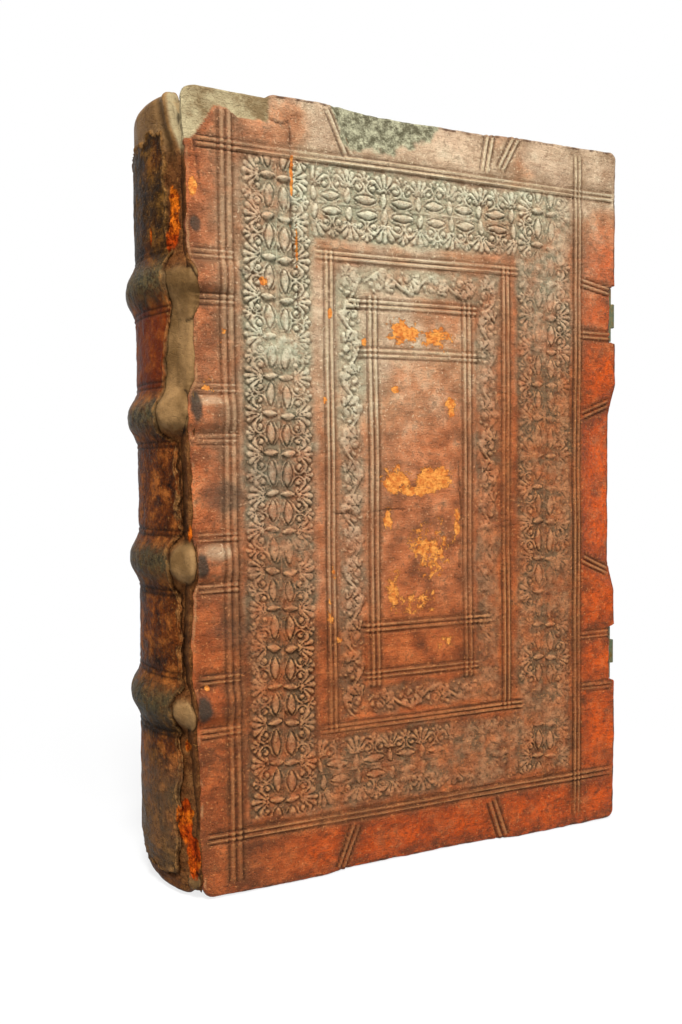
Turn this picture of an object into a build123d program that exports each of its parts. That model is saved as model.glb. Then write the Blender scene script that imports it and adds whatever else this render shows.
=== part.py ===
from build123d import *
import math
import os

# Antique leather book standing on its tail: wooden boards with stopped bevels, raised sewing bands and a
# rebacked spine. X runs from spine to fore-edge, Y from front cover to rear cover, Z from tail to head.
# Everything is drawn from the joint (x = 0), the mid plane of the leaves (y = 0) and the tail edge (z = 0),
# and moved at export so that the origin is the bottom centre of the whole book.

# Covers, in millimetres
COVER_HEIGHT = 320.0
COVER_WIDTH = 205.0
BOARD_THICKNESS = 8.5
LEATHER = 1.5
TURN_IN_THICKNESS = 0.6
TURN_IN_WIDTH = 16.0
SPINE_CORNER_RADIUS = 7.0
FORE_CORNER_RADIUS = 4.0
JOINT_GAP = 0.3

# Stopped bevels along the free edges: where each one starts and ends at the very edge
BEVEL_STOP = 15.0
HEAD_BEVEL = {"span": (53.0, 149.0), "width": 19.0, "depth": 2.2}
TAIL_BEVEL = {"span": (52.0, 149.0), "width": 19.0, "depth": 3.0}
FORE_BEVEL = {"span": (111.0, 212.0), "width": 21.0, "depth": 5.5}

# Leaves and endpapers
BLOCK_THICKNESS = 47.6
BLOCK_CLEARANCE = 0.3
SQUARE = 6.0
FORE_EDGE_HOLLOW = 5.0
PASTEDOWN_THICKNESS = 0.3
PASTEDOWN_OVERLAP = 10.0

# Spine
SPINE_ROUND = 15.5
LINING = 0.4
REBACK = 1.1
OLD_LEATHER = 0.6
PASTE = 0.1
OLD_LEATHER_HALF_ANGLE = 37.0
OLD_LEATHER_INSET = 2.0
SPINE_LINES = (10.8, 13.0)
SPINE_LINE_DEPTH = 0.3
CAP_ROUND = 4.0
ENDBAND_DIAMETER = 4.2
ENDBAND_SETBACK = 2.6

# Sewing supports, one double cord to each raised band, and their slips laced into the boards
BAND_HEIGHTS = (78.0, 135.0, 194.0, 247.0)
BAND_WIDTH = 16.0
BAND_BLEND = 2.0
BAND_FLAT = 3.3
CORD_DIAMETER = 4.0
CORD_CLEARANCE = 0.1
SLIP_PROUD = 3.0
SLIP_ROUND = 1.0
LACING_HOLE_X = 9.0
RIB_STRAIGHT = 12.0
PEG_LENGTH = 7.0
PEG_TOP_DIAMETER = 4.6
PEG_TIP_DIAMETER = 3.8

# Brass catches let into the fore-edge of the front board
CATCH_HEIGHTS = {"lower": 81.5, "upper": 244.0}
CATCH_HEIGHT = 25.0
CATCH_NOTCH = 3.2
CATCH_NOTCH_LEDGE = 2.0
CATCH_SIDE_GAP = 0.4
PLATE_THICKNESS = 1.4
ROLL_DIAMETER = 4.2
ROLL_BORE = 1.6
ROLL_LENGTH = 11.0
ROLL_MERGE = 0.2
NAIL_SPACING = 18.6
NAIL_DIAMETER = 1.6
NAIL_LENGTH = 7.0
NAIL_HEAD_DIAMETER = 3.2
NAIL_HEAD_HEIGHT = 0.7

# Corner repair at the head of the front joint: its outline on the cover, x then z below the head edge
REPAIR_OUTLINE = (
    (0.0, 21.0),
    (4.0, 17.0),
    (8.0, 11.0),
    (13.0, 8.5),
    (22.0, 10.0),
    (31.0, 10.5),
    (32.0, 0.0),
)

# Blind tooled double lines: first line, last line, and where both begin and end
TOOLED_WIDTH = 1.2
TOOLED_DEPTH = 0.7
UPRIGHT_LINES = (
    (11.5, 17.0, 5.0, 313.0),
    (180.5, 184.0, 5.0, 316.0),
    (55.5, 58.5, 60.5, 262.0),
    (142.0, 145.0, 60.5, 262.0),
    (75.0, 79.0, 76.0, 245.0),
    (121.0, 125.0, 76.0, 245.0),
)
CROSS_LINES = (
    (297.5, 300.5, 2.0, 203.0),
    (22.5, 25.5, 2.0, 203.0),
    (258.5, 261.0, 50.0, 150.0),
    (61.5, 64.0, 50.0, 150.0),
    (239.5, 242.3, 74.0, 126.0),
    (218.6, 221.8, 74.0, 126.0),
    (102.4, 105.4, 74.0, 126.0),
    (82.2, 85.0, 74.0, 126.0),
)
BAND_LINES = (9.0, 11.5)
BAND_LINES_REACH = 11.5

# Blind rolled borders, pressed down round raised ornament: left, right, low and high
BORDER_DEPTH = 0.7
OUTER_BORDER = (20.0, 179.0, 29.0, 296.0)
ROLL_WIDTH = 15.0
ROLL_PITCH = 15.8
PALMETTE_PETALS = 5
PALMETTE_SPREAD = 150.0
PALMETTE_ROOT = 5.0
PALMETTE_REACH = 7.6
PALMETTE_VALLEY = 5.2
OVAL_LENGTH = 7.5
OVAL_WIDTH = 3.2
OVAL_OFFSET = 2.6
INNER_BORDER = (60.5, 140.0, 66.0, 257.0)
LEAF_ROLL_WIDTH = 12.5
LEAF_PITCH = 13.0
LEAF_LENGTH = 13.5
LEAF_WIDTH = 4.6
LEAF_SLANT = 38.0

# Derived positions
HALF_BLOCK = BLOCK_THICKNESS / 2
PASTEDOWN_FACE = HALF_BLOCK + BLOCK_CLEARANCE
TURN_IN_FACE = PASTEDOWN_FACE + PASTEDOWN_THICKNESS
BOARD_INNER = TURN_IN_FACE + TURN_IN_THICKNESS
BOARD_OUTER = BOARD_INNER + BOARD_THICKNESS
COVER_FACE = BOARD_OUTER + LEATHER
BAND_FACE = COVER_FACE + BAND_FLAT
SPINE_RADIUS = (SPINE_ROUND**2 + COVER_FACE**2) / (2 * SPINE_ROUND)
SPINE_CENTRE = SPINE_RADIUS - SPINE_ROUND
REBACK_RADIUS = SPINE_RADIUS - OLD_LEATHER - PASTE
LINING_RADIUS = REBACK_RADIUS - REBACK
BLOCK_RADIUS = LINING_RADIUS - LINING
BAND_RISE = CORD_DIAMETER + 2 * CORD_CLEARANCE - LINING
CORD_OFFSET = CORD_DIAMETER / 2 + CORD_CLEARANCE
SLIP_WIDTH = 2 * CORD_DIAMETER + 2 * CORD_CLEARANCE
CORD_CHANNEL = SLIP_WIDTH + 2 * CORD_CLEARANCE
SPINE_AXIS = Axis((SPINE_CENTRE, 0, 0), (0, 0, 1))
COVER_PLANE = Plane(origin=(0, -COVER_FACE, 0), x_dir=(1, 0, 0), z_dir=(0, -1, 0))
SPINE_PLANE = Plane(origin=(SPINE_CENTRE, 0, 0), x_dir=(-1, 0, 0), z_dir=(0, 1, 0))
PLATE_SEAT = COVER_WIDTH - CATCH_NOTCH
PLATE_FACE = PLATE_SEAT + PLATE_THICKNESS
ROLL_CENTRE = PLATE_FACE + ROLL_DIAMETER / 2 - ROLL_MERGE
LEDGE_FACE = BOARD_INNER + CATCH_NOTCH_LEDGE
LEFTMOST = -(SPINE_ROUND + BAND_RISE)
RIGHTMOST = ROLL_CENTRE + ROLL_DIAMETER / 2
TO_FRAME = Pos(-(LEFTMOST + RIGHTMOST) / 2, 0, 0)
WIDE_ANGLE = 62.0
NEAR_JOINT = 1.0
OVERSHOOT = 1.5
SAME_PLACE = 0.001
FAR = 500.0


def block(x0, x1, y0, y1, z0, z1):
    """Box between two corners."""
    return Pos((x0 + x1) / 2, (y0 + y1) / 2, (z0 + z1) / 2) * Box(x1 - x0, y1 - y0, z1 - z0)


def rear(shape):
    """The same piece for the rear cover."""
    return mirror(shape, about=Plane.XZ)


# Text block and spine
def text_block():
    shoulder = math.sqrt(BLOCK_RADIUS**2 - SPINE_CENTRE**2)
    fore = COVER_WIDTH - SQUARE
    outline = Polyline((0, -shoulder), (0, -HALF_BLOCK), (fore, -HALF_BLOCK))
    outline += ThreePointArc((fore, -HALF_BLOCK), (fore - FORE_EDGE_HOLLOW, 0), (fore, HALF_BLOCK))
    outline += Polyline((fore, HALF_BLOCK), (0, HALF_BLOCK), (0, shoulder))
    outline += ThreePointArc((0, shoulder), (SPINE_CENTRE - BLOCK_RADIUS, 0), (0, -shoulder))
    return Pos(0, 0, SQUARE) * extrude(make_face(outline), COVER_HEIGHT - 2 * SQUARE)


def round_spine(profile, front_angle=WIDE_ANGLE, rear_angle=WIDE_ANGLE):
    """Sweep a radius and height profile round the spine, and trim it at the joints."""
    started = (SPINE_PLANE * profile).rotate(SPINE_AXIS, -rear_angle)
    swept = revolve(started, SPINE_AXIS, front_angle + rear_angle)
    return swept & block(-FAR, 0, -BAND_FACE, BAND_FACE, -FAR, FAR)


def spread(r0, r1, z0, z1):
    """Rectangle between two corners of a flat plan or profile."""
    return Pos((r0 + r1) / 2, (z0 + z1) / 2) * Rectangle(r1 - r0, z1 - z0)


def clear_of_joint(edges):
    """The edges, less the straight one that lies at the joint."""
    return edges.filter_by(lambda edge: edge.bounding_box().max.X > NEAR_JOINT)


def banded_profile(radius, growth):
    """Solid profile out to a radius with raised bands and rounded caps, grown by a layer over the reback."""
    low = -growth
    high = COVER_HEIGHT + growth
    profile = spread(0, radius, low, high)
    for centre in BAND_HEIGHTS:
        profile += Pos(radius, centre) * Ellipse(BAND_RISE, BAND_WIDTH / 2 + growth)
    on_panel = [v for v in profile.vertices() if abs(v.X - radius) < SAME_PLACE]
    caps = [v for v in on_panel if min(v.Y - low, high - v.Y) < SAME_PLACE]
    feet = [v.center() for v in on_panel if min(v.Y - low, high - v.Y) > SAME_PLACE]
    profile = fillet(caps, CAP_ROUND + growth)
    kept = [v for v in profile.vertices() if any((v.center() - foot).length < SAME_PLACE for foot in feet)]
    return fillet(kept, BAND_BLEND)


def spine_lining(number):
    edges = [SQUARE]
    for centre in BAND_HEIGHTS:
        edges += [centre - SLIP_WIDTH / 2, centre + SLIP_WIDTH / 2]
    edges.append(COVER_HEIGHT - SQUARE)
    low, high = edges[2 * number], edges[2 * number + 1]
    return round_spine(spread(BLOCK_RADIUS, LINING_RADIUS, low, high))


def sewing_support(centre):
    cord = Circle(CORD_DIAMETER / 2)
    pair = [Pos(BLOCK_RADIUS + CORD_DIAMETER / 2, centre + side * CORD_OFFSET) * cord for side in (-1, 1)]
    return Compound([round_spine(one) for one in pair])


def endband(base, outward):
    centre = Pos(BLOCK_RADIUS - ENDBAND_SETBACK, base + outward * (ENDBAND_DIAMETER / 2 + CORD_CLEARANCE))
    return round_spine(centre * Circle(ENDBAND_DIAMETER / 2))


def reback_leather():
    profile = banded_profile(REBACK_RADIUS, 0)
    hollow = spread(0, LINING_RADIUS, REBACK, COVER_HEIGHT - REBACK)
    hollow = fillet([v for v in hollow.vertices() if v.X > 0], CAP_ROUND - REBACK)
    for centre in BAND_HEIGHTS:
        middle = BLOCK_RADIUS + CORD_OFFSET
        hollow += Pos(middle, centre) * SlotOverall(CORD_CHANNEL, 2 * CORD_OFFSET, rotation=90)
        hollow += spread(0, middle, centre - CORD_CHANNEL / 2, centre + CORD_CHANNEL / 2)
    mouth = spread(0, BLOCK_RADIUS - ENDBAND_SETBACK, -FAR, FAR)
    return round_spine(profile - hollow - mouth)


def old_spine_leather():
    layer = banded_profile(SPINE_RADIUS, OLD_LEATHER + PASTE) - banded_profile(REBACK_RADIUS + PASTE, PASTE)
    layer &= spread(0, FAR, OLD_LEATHER_INSET, COVER_HEIGHT - OLD_LEATHER_INSET)
    half = TOOLED_WIDTH / 2
    for centre in BAND_HEIGHTS:
        for z in [centre + side * offset for side in (-1, 1) for offset in SPINE_LINES]:
            layer -= spread(SPINE_RADIUS - SPINE_LINE_DEPTH, FAR, z - half, z + half)
    return round_spine(layer, OLD_LEATHER_HALF_ANGLE, OLD_LEATHER_HALF_ANGLE)


# Covers, drawn as the front one
def edge_point(edge, along, inward, depth, inset):
    """Point on a cover: along an edge, inward from it and down from the outer face, both past an inset."""
    y = inset + depth - COVER_FACE
    places = {
        "head": (along, y, COVER_HEIGHT - inset - inward),
        "tail": (along, y, inset + inward),
        "fore": (COVER_WIDTH - inset - inward, y, along),
    }
    return Vector(*places[edge])


def stopped_bevel(edge, bevel, inset):
    """Wedge that cuts one bevel with slanted stops; an inset gives the parallel bevel of the board below."""
    start, end = bevel["span"]
    slope = math.hypot(bevel["width"], bevel["depth"])
    width = bevel["width"] + inset * (slope - bevel["width"]) / bevel["depth"] - inset
    depth = bevel["depth"] + inset * (slope - bevel["depth"]) / bevel["width"] - inset
    corners = []
    for stop, inwards in ((start, BEVEL_STOP), (end, -BEVEL_STOP)):
        inner = edge_point(edge, stop + inwards, width, 0, inset)
        outer = edge_point(edge, stop, 0, 0, inset)
        lowest = edge_point(edge, stop + inwards, 0, depth, inset)
        corners.append((inner, inner + (outer - inner) * OVERSHOOT, inner + (lowest - inner) * OVERSHOOT))
    (a_in, a_out, a_low), (b_in, b_out, b_low) = corners
    sides = (
        (a_in, a_out, b_out, b_in),
        (a_in, b_in, b_low, a_low),
        (a_out, a_low, b_low, b_out),
        (a_in, a_low, a_out),
        (b_in, b_out, b_low),
    )
    return Solid(Shell([Face(Wire.make_polygon(side)) for side in sides]))


def cover_body(inset, inner_face, edge_round):
    """Cover slab cut back by an inset from the leather surface, with its corners and bevels."""
    right, high = COVER_WIDTH - inset, COVER_HEIGHT - inset
    slab = block(JOINT_GAP, right, inset - COVER_FACE, -inner_face, inset, high)
    uprights = slab.edges().filter_by(Axis.Y).sort_by(Axis.X)
    slab = fillet(uprights[:2], SPINE_CORNER_RADIUS)
    slab = fillet(slab.edges().filter_by(Axis.Y).sort_by(Axis.X)[-2:], FORE_CORNER_RADIUS - inset)
    if edge_round:
        outer_face = slab.faces().sort_by(Axis.Y)[0]
        slab = fillet(clear_of_joint(outer_face.edges()), edge_round)
    for edge, bevel in (("head", HEAD_BEVEL), ("tail", TAIL_BEVEL), ("fore", FORE_BEVEL)):
        slab -= stopped_bevel(edge, bevel, inset)
    return slab


def slip(centre, pegged=True):
    """End of a double cord, laid in its groove on the board and drawn down through the lacing hole."""
    outer = (LACING_HOLE_X, -BOARD_OUTER - SLIP_PROUD, centre)
    across = Plane(origin=outer, x_dir=(1, 0, 0), z_dir=(0, 1, 0))
    start = Pos((JOINT_GAP - LACING_HOLE_X) / 2, 0) * Rectangle(LACING_HOLE_X - JOINT_GAP, SLIP_WIDTH)
    body = extrude(across * (start + Circle(SLIP_WIDTH / 2)), CORD_DIAMETER)
    top = body.faces().sort_by(Axis.Y)[0]
    body = fillet(clear_of_joint(top.edges()), SLIP_ROUND)
    plug = Plane(origin=(LACING_HOLE_X, -BOARD_INNER, centre), z_dir=(0, -1, 0)) * Circle(SLIP_WIDTH / 2)
    body += extrude(plug, BOARD_THICKNESS)
    return body - peg(centre) if pegged else body


def peg(centre):
    """Tapered wooden peg driven into the slip from the inner side."""
    seat = Plane(origin=(LACING_HOLE_X, -BOARD_INNER, centre), z_dir=(0, -1, 0))
    on_seat = (Align.CENTER, Align.CENTER, Align.MIN)
    return seat * Cone(PEG_TOP_DIAMETER / 2, PEG_TIP_DIAMETER / 2, PEG_LENGTH, align=on_seat)


def band_rib(centre):
    """Swelling of the cover leather over a slip, running out in a round end."""
    half = BAND_WIDTH / 2
    radius = (half**2 + BAND_FLAT**2) / (2 * BAND_FLAT)
    middle = Pos(0, radius - BAND_FACE, centre)
    length = RIB_STRAIGHT - JOINT_GAP
    run = Pos(JOINT_GAP + length / 2, 0, 0) * Cylinder(radius, length, rotation=(0, 90, 0))
    rib = middle * (run + Pos(RIB_STRAIGHT, 0, 0) * Sphere(radius))
    return rib & block(JOINT_GAP, FAR, -FAR, -BOARD_OUTER, -FAR, FAR)


def tooled_lines():
    """Plan of the blind tooled double lines on a cover."""
    half = TOOLED_WIDTH / 2
    strips = []
    for first, last, low, high in UPRIGHT_LINES:
        strips += [spread(x - half, x + half, low, high) for x in (first, last)]
    for first, last, left, right in CROSS_LINES:
        strips += [spread(left, right, z - half, z + half) for z in (first, last)]
    for centre in BAND_HEIGHTS:
        lines = [centre + side * offset for side in (-1, 1) for offset in BAND_LINES]
        strips += [spread(JOINT_GAP, BAND_LINES_REACH, z - half, z + half) for z in lines]
    return strips[0] + strips[1:]


def palmette():
    """Fan of petals opening away from the seam of a double roll, along +Y from the seam."""
    step = PALMETTE_SPREAD / (PALMETTE_PETALS - 1)
    points = [(0, PALMETTE_ROOT)]
    for turn in range(2 * PALMETTE_PETALS - 1):
        angle = math.radians(turn * step / 2 - PALMETTE_SPREAD / 2)
        reach = PALMETTE_VALLEY if turn % 2 else PALMETTE_REACH
        points.append((reach * math.sin(angle), PALMETTE_ROOT + reach * math.cos(angle)))
    return make_face(Polyline(points, close=True))


def lozenge(length, width):
    half, side = length / 2, width / 2
    return make_face(Polyline((-half, 0), (0, side), (half, 0), (0, -side), close=True))


def repeats(low, high, pitch):
    """Even places at a pitch, centred between two ends."""
    count = int((high - low) / pitch)
    first = (low + high - (count - 1) * pitch) / 2
    return [first + number * pitch for number in range(count)]


def border_runs(border, width):
    """The four sides of a border: each side's middle line as a mover, and the two ends of its length."""
    left, right, low, high = border
    for x in (left + width / 2, right - width / 2):
        yield Pos(x, 0) * Rot(0, 0, 90), low, high
    for z in (low + width / 2, high - width / 2):
        yield Pos(0, z), left + width, right - width


def frame_plan(border, width):
    left, right, low, high = border
    return spread(left, right, low, high) - spread(left + width, right - width, low + width, high - width)


def rolled_borders():
    """Plan of the pressed ground, in which the palmettes, ovals and leaves of the rolls stay raised."""
    fan = palmette()
    oval = lozenge(OVAL_LENGTH, OVAL_WIDTH)
    leaf = lozenge(LEAF_LENGTH, LEAF_WIDTH)
    raised = []
    for side, low, high in border_runs(OUTER_BORDER, 2 * ROLL_WIDTH):
        places = repeats(low, high, ROLL_PITCH)
        for roll in (side, side * Rot(180, 0, 0)):
            raised += [roll * Pos(place, 0) * fan for place in places]
            between = [place + ROLL_PITCH / 2 for place in places[:-1]]
            raised += [roll * Pos(place, OVAL_OFFSET) * oval for place in between]
    for side, low, high in border_runs(INNER_BORDER, LEAF_ROLL_WIDTH):
        for number, place in enumerate(repeats(low, high, LEAF_PITCH)):
            slant = LEAF_SLANT if number % 2 else -LEAF_SLANT
            raised.append(side * Pos(place, 0) * Rot(0, 0, slant) * leaf)
    ground = frame_plan(OUTER_BORDER, 2 * ROLL_WIDTH) + frame_plan(INNER_BORDER, LEAF_ROLL_WIDTH)
    return ground - raised


def pressed(plan, depth):
    """Cutter that presses a plan into the outer face of the front cover."""
    return extrude(COVER_PLANE * plan, -depth)


def catch_notch(centre):
    half = CATCH_HEIGHT / 2 + CATCH_SIDE_GAP
    return block(PLATE_SEAT, FAR, -FAR, -LEDGE_FACE, centre - half, centre + half)


def nail_places():
    middle = -(BOARD_OUTER + LEDGE_FACE) / 2
    heights = [c + side * NAIL_SPACING / 2 for c in CATCH_HEIGHTS.values() for side in (-1, 1)]
    return [Plane(origin=(PLATE_FACE, middle, z), z_dir=(1, 0, 0)) for z in heights]


def nail(place):
    shank = extrude(place * Circle(NAIL_DIAMETER / 2), -NAIL_LENGTH)
    dome = (NAIL_HEAD_DIAMETER**2 / 4 + NAIL_HEAD_HEIGHT**2) / (2 * NAIL_HEAD_HEIGHT)
    ball = place * Pos(0, 0, NAIL_HEAD_HEIGHT - dome) * Sphere(dome)
    head = ball & place * Pos(0, 0, dome) * Box(2 * dome, 2 * dome, 2 * dome)
    return shank + head


def wooden_board():
    board = cover_body(LEATHER, BOARD_INNER, 0)
    return board - [slip(centre, pegged=False) for centre in BAND_HEIGHTS]


def cover_leather():
    """Leather over the outer face and the free edges, turned in on the inner face."""
    cover = cover_body(0, TURN_IN_FACE, LEATHER)
    cover = cover - pressed(tooled_lines(), TOOLED_DEPTH) - pressed(rolled_borders(), BORDER_DEPTH)
    cover = cover + [band_rib(centre) for centre in BAND_HEIGHTS]
    cover = cover - cover_body(LEATHER, BOARD_INNER, 0) - turn_in_window(0)
    return cover - [slip(centre, pegged=False) for centre in BAND_HEIGHTS]


def turn_in_window(inset):
    """Inner face left bare of leather inside the turn-ins."""
    frame = LEATHER + TURN_IN_WIDTH + inset
    return block(0, COVER_WIDTH - frame, -BOARD_INNER, -TURN_IN_FACE, frame, COVER_HEIGHT - frame)


def pastedown():
    """Endpaper pasted on the bare wood and dressed over the edges of the turn-ins."""
    inset = LEATHER + TURN_IN_WIDTH - PASTEDOWN_OVERLAP
    right, high = COVER_WIDTH - inset, COVER_HEIGHT - inset
    sheet = block(2 * JOINT_GAP, right, -BOARD_INNER, -PASTEDOWN_FACE, inset, high)
    turn_ins = block(0, FAR, -BOARD_INNER, -TURN_IN_FACE, 0, COVER_HEIGHT) - turn_in_window(0)
    dish = Pos(0, PASTEDOWN_THICKNESS, 0) * turn_in_window(PASTEDOWN_THICKNESS)
    return sheet - turn_ins - dish


def repair_prism():
    points = [(x, COVER_HEIGHT - down) for x, down in REPAIR_OUTLINE]
    points += [(REPAIR_OUTLINE[-1][0], COVER_HEIGHT + LEATHER), (0, COVER_HEIGHT + LEATHER)]
    plan = make_face(Polyline([(x, 0, z) for x, z in points], close=True))
    return extrude(plan, COVER_FACE + LEATHER, dir=(0, -1, 0))


def catch_plate(centre):
    """Brass plate with its front tongue rolled into the bar that the clasp hooked on."""
    low, high = centre - CATCH_HEIGHT / 2, centre + CATCH_HEIGHT / 2
    plate = block(PLATE_SEAT, PLATE_FACE, -BOARD_OUTER, -LEDGE_FACE, low, high)
    middle = Pos(ROLL_CENTRE, -(BOARD_OUTER + LEDGE_FACE) / 2, centre)
    plate += middle * Cylinder(ROLL_DIAMETER / 2, ROLL_LENGTH)
    plate -= middle * Cylinder(ROLL_BORE / 2, ROLL_LENGTH)
    return plate - [nail(place) for place in nail_places()]


def build():
    notches = [catch_notch(centre) for centre in CATCH_HEIGHTS.values()]
    nails = [nail(place) for place in nail_places()]
    board = wooden_board()
    leather = cover_leather()
    repair = repair_prism()
    endpaper = pastedown()
    nodes = {
        "text_block": text_block(),
        "head_endband": endband(COVER_HEIGHT - SQUARE, 1),
        "tail_endband": endband(SQUARE, -1),
        "reback_leather": reback_leather(),
        "old_spine_leather": old_spine_leather(),
        "front_board": board - notches - nails,
        "rear_board": rear(board),
        "front_cover_leather": leather - notches - repair,
        "front_corner_repair": leather & repair,
        "rear_cover_leather": rear(leather),
        "front_pastedown": endpaper,
        "rear_pastedown": rear(endpaper),
        "front_pegs": Compound([peg(centre) for centre in BAND_HEIGHTS]),
        "rear_pegs": Compound([rear(peg(centre)) for centre in BAND_HEIGHTS]),
        "catch_nails": Compound(nails),
    }
    for number in range(len(BAND_HEIGHTS) + 1):
        nodes[f"spine_lining_{number + 1}"] = spine_lining(number)
    for number, centre in enumerate(BAND_HEIGHTS, 1):
        nodes[f"sewing_support_{number}"] = sewing_support(centre)
        nodes[f"front_slip_{number}"] = slip(centre)
        nodes[f"rear_slip_{number}"] = rear(slip(centre))
    for name, centre in CATCH_HEIGHTS.items():
        nodes[f"{name}_catch_plate"] = catch_plate(centre)
    return nodes


os.makedirs("parts", exist_ok=True)
for node_name, node_shape in build().items():
    export_step(TO_FRAME * node_shape, f"parts/{node_name}.step")
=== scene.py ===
import math

import bpy
import numpy as np
from mathutils import Matrix, Vector


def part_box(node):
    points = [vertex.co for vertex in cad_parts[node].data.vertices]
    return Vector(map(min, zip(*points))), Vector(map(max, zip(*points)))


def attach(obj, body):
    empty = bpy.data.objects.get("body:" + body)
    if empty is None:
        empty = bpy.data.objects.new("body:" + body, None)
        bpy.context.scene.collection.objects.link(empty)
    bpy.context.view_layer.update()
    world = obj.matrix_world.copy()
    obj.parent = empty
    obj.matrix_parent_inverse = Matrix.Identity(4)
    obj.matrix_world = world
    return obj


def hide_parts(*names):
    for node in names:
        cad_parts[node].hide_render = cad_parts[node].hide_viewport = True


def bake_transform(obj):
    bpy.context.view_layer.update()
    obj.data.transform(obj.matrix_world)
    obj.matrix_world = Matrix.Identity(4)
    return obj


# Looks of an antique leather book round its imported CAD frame. Pieces are drawn in millimetres from the joint
# (x = 0), the mid plane of the leaves (y = 0) and the tail (z = 0), as the solids are.
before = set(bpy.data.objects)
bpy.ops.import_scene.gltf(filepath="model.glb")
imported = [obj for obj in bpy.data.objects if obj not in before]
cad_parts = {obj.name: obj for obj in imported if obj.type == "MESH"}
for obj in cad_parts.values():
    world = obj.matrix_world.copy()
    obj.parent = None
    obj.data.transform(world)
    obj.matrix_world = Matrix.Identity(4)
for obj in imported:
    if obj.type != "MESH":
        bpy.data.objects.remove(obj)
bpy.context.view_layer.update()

MM = 0.001
FAR = 1000.0
JOINT_GAP = 0.3
COVER_HEIGHT = 320.0
COVER_WIDTH = 205.0
COVER_FACE = 35.0
TURN_IN_FACE = 24.4
HALF_BLOCK = 23.8
SQUARE = 6.0
FORE_HOLLOW = 5.0
SPINE_ROUND = 15.5
SPINE_RADIUS = (SPINE_ROUND**2 + COVER_FACE**2) / (2 * SPINE_ROUND)
SPINE_CENTRE = SPINE_RADIUS - SPINE_ROUND
BLOCK_RADIUS = SPINE_RADIUS - 2.2
BAND_HEIGHTS = (78.0, 135.0, 194.0, 247.0)
BAND_WIDTH = 16.0
BAND_RISE = 3.8
BAND_FLAT = 3.3
JOINT_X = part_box("front_board")[0].x / MM - JOINT_GAP


# Numbers and noise
def smooth(low, high, value):
    """Smooth step from 0 at low to 1 at high; low may be the greater."""
    t = np.clip((value - low) / (high - low), 0, 1)
    return t * t * (3 - 2 * t)


def noise(x, y, size, seed):
    """Smooth seeded noise from -1 to 1 with features of a size."""
    table = np.random.default_rng(seed).uniform(-1, 1, (256, 256))
    u, v = np.broadcast_arrays(np.asarray(x, float) / size, np.asarray(y, float) / size)
    i, j = np.floor(u).astype(int), np.floor(v).astype(int)
    a, b = u - i, v - j
    a, b = a * a * (3 - 2 * a), b * b * (3 - 2 * b)
    low = table[i % 256, j % 256] * (1 - a) + table[(i + 1) % 256, j % 256] * a
    high = table[i % 256, (j + 1) % 256] * (1 - a) + table[(i + 1) % 256, (j + 1) % 256] * a
    return low * (1 - b) + high * b


def fractal(x, y, size, seed, octaves=4):
    return sum(noise(x, y, size / 2**k, seed + k) / 2**k for k in range(octaves)) / 1.6


def waver(place, size, seed):
    """Fractal noise along a line."""
    return fractal(place, 0 * place, size, seed)


def bell(distance, width):
    """Bell curve: 1 in the middle, about a third at its width."""
    return np.exp(-((distance / width) ** 2))


def oval(x, z, centre_x, centre_z, half_x, half_z):
    """Distance from the centre of an oval: 1 on its outline."""
    return np.hypot((x - centre_x) / half_x, (z - centre_z) / half_z)


def follow(path, place):
    """Value at a place on a path of places and values, held level past its ends."""
    return np.interp(place, *zip(*path))


def along_segment(x, z, start, end):
    """Signed distance across a segment, and the place along it from its start, in millimetres."""
    dx, dz = end[0] - start[0], end[1] - start[1]
    length = math.hypot(dx, dz)
    place = ((x - start[0]) * dx + (z - start[1]) * dz) / length
    across = ((x - start[0]) * dz - (z - start[1]) * dx) / length
    return across, place, length


def near_path(x, z, points):
    """Distance to a path of straight pieces."""
    nearest = np.full(np.shape(x), FAR)
    for start, end in zip(points, points[1:]):
        across, place, length = along_segment(x, z, start, end)
        past = np.maximum(np.maximum(-place, place - length), 0)
        nearest = np.minimum(nearest, np.hypot(across, past))
    return nearest


# Blind tooled ornament of the covers
ROLL_PITCH = 15.8
ROLL_WIDTH = 15.0
OUTER_BORDER = (20.0, 179.0, 29.0, 296.0)
INNER_BORDER = (60.5, 140.0, 66.0, 257.0)
LEAF_ROLL_WIDTH = 12.5
LEAF_PITCH = 27.0

# Start, end, and spacing of the three lines
TOOLED_LINES = [
    ((14.3, 4), (14.3, 314), 2.9),
    ((182.2, 4), (182.2, 317), 2.2),
    ((1, 298.8), (204, 298.8), 2.2),
    ((1, 24.2), (204, 24.2), 2.2),
    ((57.2, 60), (57.2, 263), 2.2),
    ((143.2, 60), (143.2, 263), 2.2),
    ((50, 259.9), (151, 259.9), 2.2),
    ((50, 62.6), (153, 62.6), 2.0),
    ((77.2, 76), (77.2, 246), 2.5),
    ((123, 76), (123, 246), 2.4),
    ((64, 240.8), (130, 240.8), 2.2),
    ((68, 220.3), (131, 220.3), 2.2),
    ((70, 103.9), (136, 103.9), 2.2),
    ((70, 83.6), (130, 83.6), 2.0),
    ((58, 321), (67.5, 300), 2.6),
    ((137, 321), (132, 301), 2.4),
    ((150, 321), (140, 303), 2.4),
    ((60, 0), (67.5, 21), 2.6),
    ((142.5, 0), (134.5, 21), 2.6),
    ((184, 195.5), (204, 202.5), 2.4),
    ((185, 129), (204, 121), 2.4),
    ((183, 258.5), (204, 254), 2.2),
    ((183, 234), (204, 233.5), 2.2),
    ((183, 91.5), (204, 92), 2.0),
    ((183, 67), (204, 66.5), 2.0),
]
BAND_LINES = ((255.6, 238.0), (203.6, 184.0), (145.0, 124.6), (88.0, 67.0))
for pair in BAND_LINES:
    TOOLED_LINES += [((-1, z), (19, z + 0.6), 2.1) for z in pair]


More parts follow.
